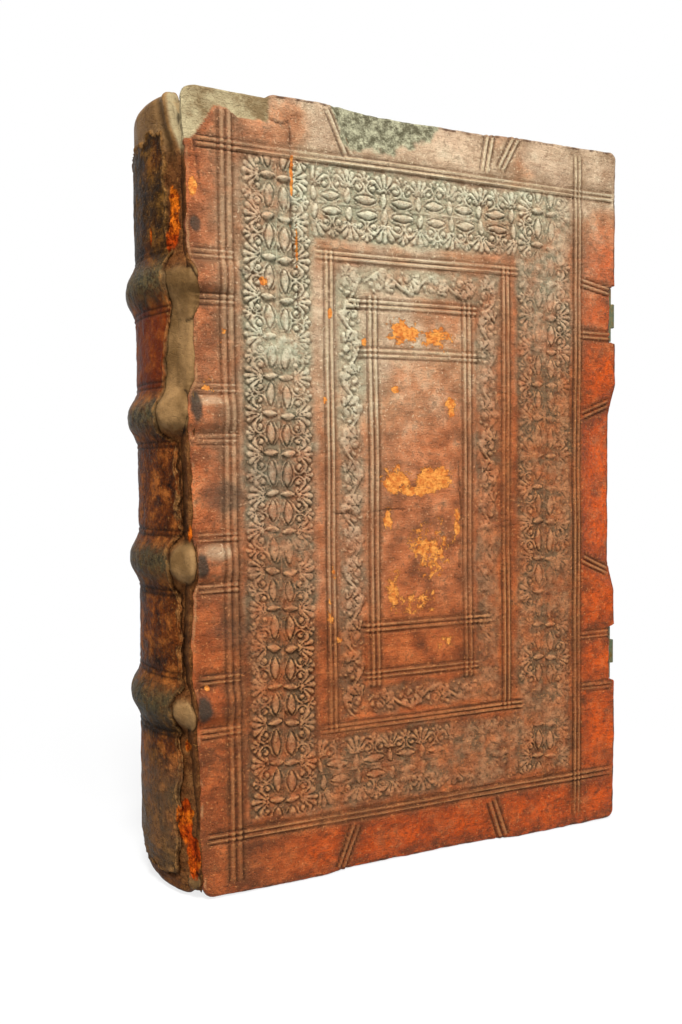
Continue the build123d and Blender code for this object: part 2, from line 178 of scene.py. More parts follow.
def tooled_lines(x, z, seed):
    """Relief of the triple lines, with the raised beads between them, and how much each point is lined."""
    relief = np.zeros(np.shape(x))
    lined = np.zeros(np.shape(x))
    wander = 0.35 * noise(x, z, 45, seed)
    strength = np.clip(0.9 + 0.6 * fractal(x, z, 35, seed + 8), 0.3, 1.2)
    for start, end, spacing in TOOLED_LINES:
        across, place, length = along_segment(x, z, start, end)
        near = np.abs(across) < 2.2 * spacing
        across = across[near] + wander[near]
        reach = smooth(0, 3, place[near]) * smooth(0, 3, length - place[near])
        cut = sum(bell(across - k * spacing, 0.5) for k in (-1, 0, 1))
        bead = sum(bell(across - k * spacing, 0.8) for k in (-0.5, 0.5))
        relief[near] += reach * strength[near] * (0.5 * bead - 0.7 * cut)
        lined[near] = np.maximum(lined[near], reach * smooth(1.7 * spacing, 1.2 * spacing, np.abs(across)))
    return relief, lined


GRIME_REACH = 6.5


def line_grime(x, z):
    """Dirt gathered beside the lines, at the fore corners, along the tail and at the joint."""
    nearest = np.full(np.shape(x), FAR)
    for start, end, spacing in TOOLED_LINES:
        nearest = np.minimum(nearest, np.clip(near_path(x, z, (start, end)) - spacing, 0, None))
    from_corner = np.hypot(COVER_WIDTH - x, np.minimum(z, COVER_HEIGHT - z))
    inside = in_box(x, z, shrink(OUTER_BORDER, 2 * ROLL_WIDTH), 4)
    beside = bell(nearest, GRIME_REACH) * (1 - 0.75 * inside)
    at_edges = np.maximum(1.2 * smooth(16, 3, from_corner), 1.1 * smooth(9, 1, z))
    at_joint = np.maximum(0.75 * smooth(19, 12, x) * smooth(150, 80, z), 1.2 * smooth(20, 4, np.hypot(x, z)))
    return np.maximum(beside, np.maximum(at_edges, at_joint))


def puff(distance):
    """Cushion profile: steep at its edge and round on top."""
    return np.sqrt(np.clip(1 - distance**2, 0, 1))


def fan(u, v, lengths, spread):
    """Cushioned petals that open along +v from the origin and droop; lengths run from the middle one out."""
    reach = np.hypot(u, v)
    turn = np.degrees(np.arctan2(u, v)) / (1 + 0.035 * reach)
    petal = np.clip(np.round(turn / spread), 1 - len(lengths), len(lengths) - 1)
    across = (turn - petal * spread) / (spread / 2)
    length = np.asarray(lengths)[np.abs(petal).astype(int)]
    tip = reach / length + 0.16 * across**2
    body = puff(1.08 * np.clip(np.abs(across), 0, 2))
    return body * smooth(1.0, 0.88, tip) * smooth(0.1, 1.0, reach)


def volute(u, v, radius):
    """Cushion with a spiral cut in it."""
    reach = np.hypot(u, v)
    around = (np.arctan2(v, u) / (2 * math.pi)) % 1
    spiral = radius * (0.42 + 0.5 * around)
    groove = bell(reach - spiral, 0.17 * radius) * (reach < radius)
    return puff(reach / radius) - 0.8 * groove


def lens(u, v, length, width):
    """Distance over a pointed oval: 0 along its middle line and 1 on its outline."""
    half = width * np.clip(1 - (u / length) ** 2, 0, 1)
    return np.abs(v) / (half + 0.02) + 4 * smooth(0.9, 1.3, np.abs(u) / length)


def palmette_roll(u, v):
    """Palmettes between volutes, ovals in straps and drops, at v from the seam of the double border."""
    u = (u + ROLL_PITCH / 2) % ROLL_PITCH - ROLL_PITCH / 2
    side = np.abs(u)
    rest = ROLL_PITCH / 2 - side
    shape = fan(u, v - 6.6, (8.2, 8.1, 7.6, 6.4), 20)
    shape = np.maximum(shape, 0.85 * fan(rest, v - 10.2, (4.4, 3.9, 3.0), 34))
    curl = np.hypot(side - 4.8, v - 8.0)
    shape = np.where(curl < 1.95, 1.1 * volute(side - 4.8, v - 8.0, 1.9), shape)
    arc = 0.8 * puff((curl - 2.6) / 0.5) * smooth(4.2, 2.8, rest)
    shape = np.maximum(shape, arc)
    shape = np.maximum(shape, 1.1 * puff(lens(rest, v - 3.3, 4.6, 1.75)))
    strap = puff((lens(rest, v - 3.3, 6.2, 3.1) - 0.86) / 0.16) * smooth(6.0, 4.6, rest)
    shape = np.maximum(shape, 0.6 * strap)
    shape = np.maximum(shape, 1.15 * puff(lens(v - 3.6, u, 3.1, 1.4)))
    return np.maximum(shape, 0.5 * puff(v / 0.5))


def leaf_roll(u, v):
    """Waving stem with scrolls and lobed leaves to both sides, at v from the middle of the inner border."""
    half = LEAF_PITCH / 2
    side = np.where((u // half) % 2 < 1, 1.0, -1.0)
    local = u % half - half / 2
    turned = side * v
    shape = puff((v - 3.6 * np.sin(2 * math.pi * u / LEAF_PITCH)) / 0.8)
    shape = np.maximum(shape, volute(local + 0.6, turned + 1.6, 2.9))
    leaf = fan(local - 1.2, turned + 3.4, (9.4, 8.6, 7.2, 5.2), 27)
    shape = np.where(np.hypot(local + 0.6, turned + 1.6) < 3.1, shape, np.maximum(shape, leaf))
    return np.maximum(shape, 0.9 * puff(np.hypot(local - half / 2, v) / 1.1))


def in_box(x, z, box, edge):
    """1 inside a box of left, right, low and high, and 0 outside, softened over its edge."""
    left, right, low, high = box
    return (
        smooth(left - edge, left + edge, x)
        * smooth(right + edge, right - edge, x)
        * smooth(low - edge, low + edge, z)
        * smooth(high + edge, high - edge, z)
    )


def in_border(x, z, box, width, edge):
    return in_box(x, z, box, edge) - in_box(x, z, shrink(box, width), edge)


def shrink(box, inset):
    left, right, low, high = box
    return left + inset, right - inset, low + inset, high - inset


def border_places(x, z, box, width):
    """For each point of a border: place along its side, and distance from the middle of the side."""
    left, right, low, high = box
    upright = (x < left + width) | (x > right - width)
    middle_x = np.where(x < (left + right) / 2, left + width / 2, right - width / 2)
    middle_z = np.where(z < (low + high) / 2, low + width / 2, high - width / 2)
    along = np.where(upright, z - (low + high) / 2, x - (left + right) / 2)
    return along, np.where(upright, x - middle_x, z - middle_z)


def rolled_borders(x, z, seed):
    """Relief of the rolled borders, and how much each point belongs to one."""
    wander = noise(x, z, 18, seed) + 0.5 * noise(x, z, 7, seed + 1) + 0.3 * noise(x, z, 3.5, seed + 2)
    stray = 0.45 * noise(x, z, 11, seed + 3) + 0.3 * noise(x, z, 4, seed + 4)
    kept = 1.0 - 0.55 * smooth(70, 180, x + 0.35 * (COVER_HEIGHT / 2 - z))
    strength = np.clip(kept + 0.85 * fractal(x, z, 20, seed + 9), 0.14, 1.25)
    outer = in_border(x, z, OUTER_BORDER, 2 * ROLL_WIDTH, 1.2)
    inner = in_border(x, z, INNER_BORDER, LEAF_ROLL_WIDTH, 0.9)
    along, across = border_places(x, z, OUTER_BORDER, 2 * ROLL_WIDTH)
    slip = np.where(across > 0, 0.9, 0.0)
    palmettes = palmette_roll(along + wander + slip, np.abs(across) + stray)
    along, across = border_places(x, z, INNER_BORDER, LEAF_ROLL_WIDTH)
    leaves = leaf_roll(along + wander, across + stray)
    relief = outer * strength * (1.15 * palmettes - 0.75) + inner * strength * (0.95 * leaves - 0.6)
    relief = relief + 0.5 * (outer + inner) * fractal(x, z, 2.6, seed + 27)
    bent_x = x + 3.0 * fractal(x, z, 14, seed + 28)
    bent_z = z + 3.0 * fractal(x, z, 14, seed + 29)
    dark = in_border(bent_x, bent_z, OUTER_BORDER, 2 * ROLL_WIDTH, 2.0)
    dark = dark + 0.8 * in_border(bent_x, bent_z, INNER_BORDER, LEAF_ROLL_WIDTH, 1.5)
    return relief, np.clip(dark, 0, 1)


HOLLOW_REACH = 0.8


def tooling(x, z, seed):
    """Relief of all the blind tooling, how hollow each point lies in it, and where rolls and lines are."""
    lines, lined = tooled_lines(x, z, seed)
    rolls, rolled = rolled_borders(x, z, seed)
    relief = lines + rolls
    around = 0
    sides = ((HOLLOW_REACH, 0), (-HOLLOW_REACH, 0), (0, HOLLOW_REACH), (0, -HOLLOW_REACH))
    for dx, dz in sides:
        around = around + tooled_lines(x + dx, z + dz, seed)[0] + rolled_borders(x + dx, z + dz, seed)[0]
    return relief, around / len(sides) - relief, rolled, lined


# Shape of a cover: distances outward from its flat face
# Edge, start and end along it, width, depth
BEVELS = (
    ("head", 53.0, 149.0, 19.0, 2.2),
    ("tail", 52.0, 149.0, 19.0, 3.0),
    ("fore", 111.0, 212.0, 21.0, 5.5),
)
BEVEL_STOP = 15.0
RIB_START, RIB_RUN = 3.0, 19.0
EDGE_ROUND = 1.5
SPINE_CORNER = 5.5
FORE_CORNER = 2.5
CATCH_HEIGHTS = (81.5, 244.0)
CATCH_HALF = 12.9
CATCH_NOTCH = 3.2


def bevels(x, z):
    """Depth of the stopped bevels along the free edges."""
    depth = np.zeros(np.shape(x))
    for edge, start, end, width, deepest in BEVELS:
        along = z if edge == "fore" else x
        inward = {"head": COVER_HEIGHT - z, "tail": z, "fore": COVER_WIDTH - x}[edge]
        slope = 1 - inward / width
        first = (along - start) / BEVEL_STOP - inward / width
        last = (end - along) / BEVEL_STOP - inward / width
        depth += deepest * np.clip(np.minimum(slope, np.minimum(first, last)), 0, None)
    return depth


def ribs(x, z):
    """Swellings over the slips of the sewing supports, running out on the board."""
    half = BAND_WIDTH / 2
    height = np.zeros(np.shape(x))
    run = np.clip(1 - (np.clip(x - RIB_START, 0, None) / RIB_RUN) ** 2, 0, 1)
    for centre in BAND_HEIGHTS:
        height += BAND_FLAT * run * np.exp(-(((z - centre) / (0.72 * half)) ** 4))
    return height


REPAIR_EDGE = ((0, 299), (4, 303), (8, 309), (10, 312.5), (15, 313), (19, 310), (31, 309.5), (33, 312))
ABRADED_EDGE = ((58, 322), (65, 305), (80, 303.5), (93, 307), (106, 311), (112, 322))
CRACKS = (
    ((40.5, 311), (41.5, 300), (40, 288), (41, 272), (44, 250), (43.5, 236)),
    ((19, 250.5), (30, 249.5), (40, 251), (48, 250)),
    ((32.5, 311), (37, 309.5), (40.5, 311)),
    ((2, 299), (4, 285), (2.5, 268)),
    ((52, 154), (70, 153), (92, 155)),
    ((118, 175), (119.5, 150), (118, 128)),
)
# Ovals where the leather has flaked or is stained, and where a highlight is painted: x, z, half width, half
# height, strength
FLAKES = (
    (29, 247, 2.2, 2.2, 1.2),
    (57.5, 236, 1.3, 2.7, 1.2),
    (55, 200, 1.4, 2.5, 0.9),
    (73, 225, 1.5, 2.0, 0.9),
    (87, 167, 7.5, 6.5, 1.05),
    (106, 167, 12, 6.5, 1.08),
    (97, 162, 15, 3.0, 0.95),
    (87, 205, 3.2, 2.2, 1.0),
    (114.5, 198, 3.5, 5.0, 1.0),
    (92, 230, 11, 7, 0.86),
    (107, 228, 11, 6.5, 0.84),
    (85.5, 118, 4.5, 14, 0.76),
    (104, 136, 15, 17, 0.7),
    (98, 113, 16, 8, 0.58),
    (83, 150, 3.2, 9.0, 0.76),
    (117, 147, 3.0, 9.0, 0.74),
    (56, 112, 3.5, 10, 0.55),
    (110, 95, 12, 5, 0.5),
    (1.1, 281, 2.0, 4.6, 1.2),
    (5, 204, 2.4, 1.4, 1.0),
    (3.2, 85.5, 1.5, 1.6, 1.0),
    (41.6, 290, 0.8, 13, 1.1),
    (43.4, 262, 0.7, 10, 1.05),
    (58, 128, 2.4, 4, 0.8),
    (60, 100, 2.0, 3, 0.75),
    (8, 205, 5, 6, 0.5),
    (12, 225, 4, 6, 0.5),
)
STAINS = (
    (0.4, 196, 2.2, 7.0, 0.9),
    (2.0, 134, 2.4, 5.0, 0.9),
    (1.6, 77.5, 3.2, 5.0, 0.9),
    (1.9, 267, 2.3, 3.0, 0.8),
    (12, 161, 9, 6, 0.5),
    (14, 107, 8, 5, 0.35),
    (30, 170, 14, 7, 0.3),
)
PAINTED_SHINE = ((7, 199, 9, 3.0), (8, 139.5, 8, 4.0))


def above_line(x, z, line, rough, seed):
    """How far each point lies above a ragged line across the cover."""
    return z - follow(line, x) + rough * fractal(x, z, 4, seed)


def cover_surface(x, z, seed, damaged):
    """Height of a cover over its flat face, and the masks of its finish, a painted sheen among them."""
    relief, hollow, tooled, lined = tooling(x, z, seed)
    height = ribs(x, z) - bevels(x, z) + relief
    height += 0.3 * fractal(x, z, 70, seed + 3) + 0.26 * fractal(x, z, 9, seed + 5)
    plain = np.zeros(np.shape(x))
    masks = {key: plain for key in ("flake", "repair", "abraded", "crack")}
    if damaged:
        reach = above_line(x, z, REPAIR_EDGE, 0.9, seed + 11)
        repair = smooth(0, 0.7, reach) * smooth(33.2, 32.4, x + 0.8 * fractal(x, z, 4, seed + 12))
        abraded = smooth(-1.0, 1.5, above_line(x, z, ABRADED_EDGE, 3.0, seed + 13))
        crack = plain.copy()
        bent_x = x + 0.9 * fractal(x, z, 6, seed + 14)
        bent_z = z + 0.9 * fractal(x, z, 6, seed + 15)
        for path in CRACKS:
            crack = np.maximum(crack, smooth(0.6, 0.1, near_path(bent_x, bent_z, path)))
        crack = crack * smooth(-0.5, 0.2, fractal(x, z, 9, seed + 18))
        flake = plain.copy()
        for *place, weight in FLAKES:
            flake = np.maximum(flake, weight * np.clip(1.25 - oval(x, z, *place), 0, 1))
        height += repair * (-1.1 - relief) - 0.5 * crack * (1 - repair)
        height += abraded * (0.7 * fractal(x, z, 4.0, seed + 16) - 0.5)
        kept = (1 - repair) * (1 - 0.75 * abraded)
        relief, hollow, tooled, lined = relief * kept, hollow * kept, tooled * kept, lined * kept
        stain = plain.copy()
        ragged = 0.3 * fractal(x, z, 4, seed + 19)
        for *place, weight in STAINS:
            stain = np.maximum(stain, weight * smooth(1.25, 0.75, oval(x, z, *place) + ragged))
        masks = {"flake": flake, "repair": repair, "abraded": abraded, "crack": crack, "stain": stain}
    lip_line = FACE_LEFT + 0.6 + joint_shift(z, seed, damaged)
    masks["lip"] = bell(x - lip_line, 0.5) * smooth(-0.2, 0.5, fractal(x, z, 6, seed + 4))
    masks["lined"] = lined
    masks["grime"] = line_grime(x, z)
    masks["relief"] = relief
    masks["hollow"] = hollow
    masks["tooled"] = tooled
    fore_margin = smooth(181, 186, x) * smooth(300, 262, z)
    tail_margin = smooth(24, 18, z) * smooth(20, 60, x)
    joint_margin = 0.15 * smooth(18, 10, x) * smooth(250, 150, z)
    masks["vivid"] = np.maximum(fore_margin, np.maximum(tail_margin, joint_margin))
    # Painted sheen: colour made paler and greyer toward the head and the upper left, standing in for the
    # reflection of the light there
    sheen = smooth(95, 215, z - 0.7 * (x - 30)) * smooth(-10, 30, x)
    head = smooth(268, 300, z) * smooth(30, 60, x)
    sheen = sheen + 0.65 * head * (1 - 0.6 * smooth(150, 168, x) * smooth(300, 292, z))
    sheen = sheen + 0.24 * in_box(x, z, (50, 130, 112, 250), 12) * (1 + smooth(90, 62, x))
    sheen = sheen * (0.85 + 0.5 * fractal(x, z, 30, seed + 17))
    # Painted highlights on the ribs of two slips
    for place in PAINTED_SHINE:
        sheen = np.maximum(sheen, damaged * smooth(1.2, 0.4, oval(x, z, *place)))
    masks["pale"] = np.clip(sheen, 0, 1.2)
    return height, masks


# Mesh making
def make_mesh(name, points, faces, masks=None):
    """Mesh object from points in millimetres, with float attributes on its points."""
    mesh = bpy.data.meshes.new(name)
    placed = (np.asarray(points, float) + (JOINT_X, 0, 0)) * MM
    mesh.from_pydata(placed.tolist(), [], [list(map(int, face)) for face in faces])
    for key, values in (masks or {}).items():
        attribute = mesh.attributes.new(key, "FLOAT", "POINT")
        attribute.data.foreach_set("value", np.asarray(values, np.float32).ravel())
    mesh.shade_smooth()
    mesh.update()
    piece = bpy.data.objects.new(name, mesh)
    bpy.context.scene.collection.objects.link(piece)
    return piece


def grid_faces(rows, columns, start=0, flip=False):
    index = start + np.arange(rows * columns).reshape(rows, columns)
    quads = np.stack([index[:-1, :-1], index[:-1, 1:], index[1:, 1:], index[1:, :-1]], -1).reshape(-1, 4)
    return quads[:, ::-1] if flip else quads


class Patchwork:
    """Grids of points gathered into one piece."""

    def __init__(self):
        self.points, self.faces, self.masks, self.count = [], [], {}, 0

    def add(self, points, masks, flip=False):
        rows, columns = points.shape[:2]
        self.faces.append(grid_faces(rows, columns, self.count, flip))
        self.points.append(points.reshape(-1, 3))
        for key in set(self.masks) | set(masks):
            past = self.masks.setdefault(key, [np.zeros(self.count)] if self.count else [])
            past.append(np.broadcast_to(masks.get(key, 0.0), (rows, columns)).ravel())
        self.count += rows * columns

    def piece(self, name):
        masks = {key: np.concatenate(values) for key, values in self.masks.items()}
        return make_mesh(name, np.concatenate(self.points), np.concatenate(self.faces), masks)


def steps(low, high, spacing):
    """Even values from low to high, no farther apart than the spacing."""
    return np.linspace(low, high, max(2, int(math.ceil((high - low) / spacing)) + 1))


FACE_LEFT, FACE_RIGHT = -1.6, COVER_WIDTH - EDGE_ROUND
FACE_LOW, FACE_HIGH = EDGE_ROUND, COVER_HEIGHT - EDGE_ROUND


def round_corners(x, z):
    """Bend the square corners of the flat face into round ones."""
    x, z = x.copy(), z.copy()
    for at_x, facing_x, radius in ((FACE_LEFT, -1, SPINE_CORNER), (FACE_RIGHT, 1, FORE_CORNER)):
        for at_z, facing_z in ((FACE_LOW, -1), (FACE_HIGH, 1)):
            u = 1 - (at_x - x) * facing_x / radius
            v = 1 - (at_z - z) * facing_z / radius
            corner = (u > 0) & (v > 0)
            bent_u = u * np.sqrt(np.clip(1 - v**2 / 2, 0, 1))
            bent_v = v * np.sqrt(np.clip(1 - u**2 / 2, 0, 1))
            x = np.where(corner, at_x - facing_x * radius * (1 - bent_u), x)
            z = np.where(corner, at_z - facing_z * radius * (1 - bent_v), z)
    return x, z


def catch_cut(x, z):
    """How far the fore-edge is cut back where the catches sit."""
    cut = np.zeros(np.shape(x))
    for centre in CATCH_HEIGHTS:
        cut = np.maximum(cut, smooth(CATCH_HALF + 0.8, CATCH_HALF, np.abs(z - centre)))
    return CATCH_NOTCH * cut * smooth(188, FACE_RIGHT, x)


# Height, and shift of the leather's edge toward the fore-edge
JOINT_EDGE = (
    (0, 1.3), (60, 1.0), (72, 0.2), (80, 0.2), (86, -0.6), (122, -0.6), (130, 1.1), (140, 1.1), (146, 0.0),
    (182, 0.0), (190, -0.6), (200, -0.6), (207, 1.9), (230, 2.1), (238, 3.4), (247, 3.4), (258, 0.0),
    (299, -0.3), (305, -1.4), (320, -1.4),
)


def joint_shift(z, seed, damaged):
    """How far the edge of the cover's leather strays along the joint."""
    stray = 0.9 * waver(z, 13, seed + 45) + 0.3 * waver(z, 3, seed + 46)
    return stray + damaged * follow(JOINT_EDGE, z)


def worn_outline(x, z, seed, damaged):
    """Shift of the face near its edges, where the leather is rubbed and lifted."""
    near_fore = smooth(FACE_RIGHT - 16, FACE_RIGHT, x)
    near_end = smooth(18, 0, np.minimum(z - FACE_LOW, FACE_HIGH - z))
    upright = 0.6 * waver(z, 40, seed + 41) + 0.25 * waver(z, 6, seed + 42)
    at_head = z // (COVER_HEIGHT / 2)
    level = 0.6 * fractal(x, at_head, 34, seed + 43) + 0.25 * waver(x, 5, seed + 44)
    shift_x = near_fore * upright + smooth(FACE_LEFT + 9, FACE_LEFT, x) * joint_shift(z, seed, damaged)
    shift_z = near_end * level
    if damaged:
        shift_z = shift_z + 1.3 * smooth(300, FACE_HIGH, z) * smooth(31, 35, x) * smooth(84, 66, x)
    return x + shift_x, z + shift_z


def face_patch(patchwork, box, spacing, side, seed, damaged):
    """Part of the outer face of a cover; side is -1 on the front and 1 on the rear."""
    left, right, low, high = box
    x, z = np.meshgrid(steps(left, right, spacing), steps(low, high, spacing), indexing="ij")
    x, z = worn_outline(*round_corners(x, z), seed, damaged)
    if damaged:
        x = x - catch_cut(x, z)
    height, masks = cover_surface(x, z, seed, damaged)
    patchwork.add(np.stack([x, side * (COVER_FACE + height), z], -1), masks, flip=side < 0)


INNER_ROUND = 0.8
TURN_IN = 17.5
TURN_IN_STEP = 0.55
CATCH_DEPTH = 7.6
OVERHANG_DEPTH = 2.5


def even_points(start, end, spacing):
    """Points along a straight stretch, its end left out."""
    count = max(4, int(math.hypot(end[0] - start[0], end[1] - start[1]) / spacing))
    return np.linspace(start, end, count, endpoint=False)


def rim(patchwork, spacing, side, seed, damaged):
    """Leather rolled over the free edges and turned in on the inner face."""
    stops = (
        (FACE_LEFT, FACE_LOW + SPINE_CORNER),
        (FACE_LEFT, FACE_LOW),
        (FACE_RIGHT, FACE_LOW),
        (FACE_RIGHT, FACE_HIGH),
        (FACE_LEFT, FACE_HIGH),
        (FACE_LEFT, FACE_HIGH - SPINE_CORNER),
    )
    path = [even_points(start, end, spacing) for start, end in zip(stops, stops[1:])]
    path = np.concatenate([*path, stops[-1:]])
    x, z = worn_outline(*round_corners(path[:, 0], path[:, 1]), seed, damaged)
    way = np.gradient(np.stack([x, z], -1), axis=0)
    pace = np.linalg.norm(way, axis=1)
    run = np.cumsum(pace)
    out_x, out_z = way[:, 1] / pace, -way[:, 0] / pace
    free = smooth(0, SPINE_CORNER, np.minimum(run, run[-1] - run))
    cut = catch_cut(x, z) if damaged else np.zeros_like(x)
    height, masks = cover_surface(x - cut, z, seed, damaged)
    thick = COVER_FACE - TURN_IN_FACE
    rings = []
    for angle in np.radians((0, 20, 40, 60, 80, 90)):
        rings.append((EDGE_ROUND * math.sin(angle), EDGE_ROUND * (1 - math.cos(angle)) - height, 0.0))
    for part in np.linspace(0.12, 1, 9):
        depth = EDGE_ROUND - height + part * (thick - INNER_ROUND - EDGE_ROUND + height)
        rings.append((EDGE_ROUND, depth, 0.0))
    for angle in np.radians((30, 60, 90)):
        shift = EDGE_ROUND - INNER_ROUND * (1 - math.cos(angle))
        rings.append((shift, thick - INNER_ROUND * (1 - math.sin(angle)), 0.0))
    for share in (0.1, 0.25, 0.4, 0.55, 0.7, 0.85, 1.0):
        rings.append((EDGE_ROUND - INNER_ROUND, thick, share))
    rings.append((EDGE_ROUND - INNER_ROUND, thick - TURN_IN_STEP, 1.0))
    ragged = 1.5 * fractal(x, z, 14, seed + 21)
    inner_x = np.clip(x, FACE_LEFT, COVER_WIDTH - TURN_IN + ragged)
    inner_z = np.clip(z, TURN_IN - ragged, COVER_HEIGHT - TURN_IN + ragged)
    points, worn = [], []
    for shift, depth, share in rings:
        depth = np.broadcast_to(depth, x.shape)
        notch = np.where(depth < CATCH_DEPTH, cut, 0)
        edge_x = x - notch + shift * free * out_x
        edge_z = z + shift * free * out_z
        px = edge_x + share * (inner_x - edge_x)
        pz = edge_z + share * (inner_z - edge_z)
        wear = 0.12 * fractal(px + depth, pz + depth, 5, seed + 23) * (share == 0)
        limit = np.where(depth < OVERHANG_DEPTH, -FAR, JOINT_GAP)
        px = np.maximum(px + wear * out_x, limit)
        points.append(np.stack([px, side * (COVER_FACE - depth), pz + wear * out_z], -1))
        worn.append(np.full_like(x, float(share == 0)))
    outer = np.linspace(1, 0, len(rings))[:, None] > 0.75
    masks = {key: masks[key] * outer for key in ("repair", "abraded", "vivid", "pale")}
    masks["edge"] = np.stack(worn)
    patchwork.add(np.stack(points), masks, flip=side > 0)


def joint_edge(patchwork, spacing, side, seed, damaged):
    """Cut edge of the leather along the joint."""
    z = steps(FACE_LOW, FACE_HIGH, spacing)
    x, z = worn_outline(*round_corners(np.full_like(z, FACE_LEFT), z), seed, damaged)
    height, masks = cover_surface(x, z, seed, damaged)
    top = COVER_FACE + height
    rows = [np.stack([x - 0.1 * drop, side * (top - drop), z], -1) for drop in (0.0, 0.4, 1.6)]
    repair = masks["repair"]
    patchwork.add(np.stack(rows), {"edge": 1 - repair, "repair": repair}, flip=side > 0)


BORDER_OUTSET, BORDER_INSET = 1.5, 1.0
FIELD_COARSER, MARGIN_COARSER, RIM_COARSER = 1.2, 1.4, 1.5


def cover(name, side, seed, damaged, spacing):
    """The three pieces of a cover's skin: tooled border, field inside it, and margin with the edges."""
    left, right, low, high = shrink(OUTER_BORDER, -BORDER_OUTSET)
    field = shrink(OUTER_BORDER, 2 * ROLL_WIDTH + BORDER_INSET)
    border, inside, margin = Patchwork(), Patchwork(), Patchwork()
    for box in (
        (left, field[0], low, high),
        (field[1], right, low, high),
        (field[0], field[1], low, field[2]),
        (field[0], field[1], field[3], high),
    ):
        face_patch(border, box, spacing, side, seed, damaged)
    face_patch(inside, field, FIELD_COARSER * spacing, side, seed, damaged)
    for box in (
        (FACE_LEFT, left, FACE_LOW, FACE_HIGH),
        (right, FACE_RIGHT, FACE_LOW, FACE_HIGH),
        (left, right, FACE_LOW, low),
        (left, right, high, FACE_HIGH),
    ):
        face_patch(margin, box, MARGIN_COARSER * spacing, side, seed, damaged)
    rim(margin, RIM_COARSER * spacing, side, seed, damaged)
    joint_edge(margin, MARGIN_COARSER * spacing, side, seed, damaged)
    return border.piece(f"{name}_border"), inside.piece(f"{name}_field"), margin.piece(f"{name}_margin")


# Spine, placed by the angle from its middle (front positive) and the height
# Height, and angle that the old leather reaches on the front side
OLD_EDGE = (
    (-5, 31), (40, 35), (60, 36), (67, 37), (70, 34), (82, 34), (86, 38), (122, 37.5), (126, 34.5),
    (144, 34.5), (148, 40), (165, 37.5), (182, 37), (187, 28.5), (207, 28), (231, 34), (250, 35),
    (257, 37), (263, 34), (325, 31),
)
OLD_LEATHER_LOW, OLD_LEATHER_HIGH = 8.0, 303.0
OLD_EDGE_REAR = 40.0
# Swellings where the bands meet the joint: height, half height, rise, angle, half angle
KNUCKLES = (
    (241, 11.0, 0.8, 44.3, 9.5),
    (195, 9.0, 1.0, 37.3, 9.5),
    (135.5, 8.5, 1.15, 42.0, 7.6),
    (75.5, 6.5, 0.9, 41.1, 6.8),
    (6.0, 5.5, 0.7, 42.5, 3.4),
)
KNUCKLE_RISE = 1.4
# Angle, height, half angle, half height
TORN = (
    (38, 271, 3.8, 13),
    (35, 262, 2.2, 5),
    (21, 265, 0.9, 4),
    (38, 31, 5.0, 10),
    (42, 18, 3.6, 10),
    (40, 62, 1.6, 2.6),
    (43, 147, 1.4, 3.5),
)
# Height and angle of the fold in the head cap
FOLD_PATH = ((268, 43), (288, 42.5), (298, 40), (306, 36), (318, 33))
NOTCH_ANGLE, NOTCH_WIDTH = 41.0, 3.0
HEAD_NOTCH, TAIL_NOTCH = 8.0, 2.0
SPINE_SAG = ((0, -1.2), (18, 1.5), (160, 0.0), (320, -0.9))
LABEL_LOW, LABEL_HIGH = 204.0, 237.0
# Height, and how red the old leather is
REDNESS = (
    (0, 0.4), (40, 0.4), (47, 0.75), (60, 0.75), (68, 0.2), (88, 0.65), (122, 0.7), (146, 1.0), (182, 1.0),
    (204, 0.9), (237, 0.9), (258, 0.1), (320, 0.0),
)
CAP_ROUND = 4.0
REBACK_DROP = 0.7
BAND_SINK = 1.8
BAND_LINE_OFFSETS = (-13.0, -10.8, 10.8, 13.0)
LIP_RADIUS = BLOCK_RADIUS - 2.6
WALL_DEPTH, WALL_FOOT = 2.6, 32.5
BAND_SPREAD = 0.8
ROW_STEP = 0.75
SPINE_END = math.degrees(math.acos(SPINE_CENTRE / SPINE_RADIUS))
DEGREE = math.pi * SPINE_RADIUS / 180


def band_profile(z):
    """Rise of the raised bands along the spine."""
    rise = np.zeros(np.shape(z))
    for centre in BAND_HEIGHTS:
        rise += BAND_RISE * np.exp(-(np.abs((z - centre) / (0.46 * BAND_WIDTH)) ** 2.8))
    return rise


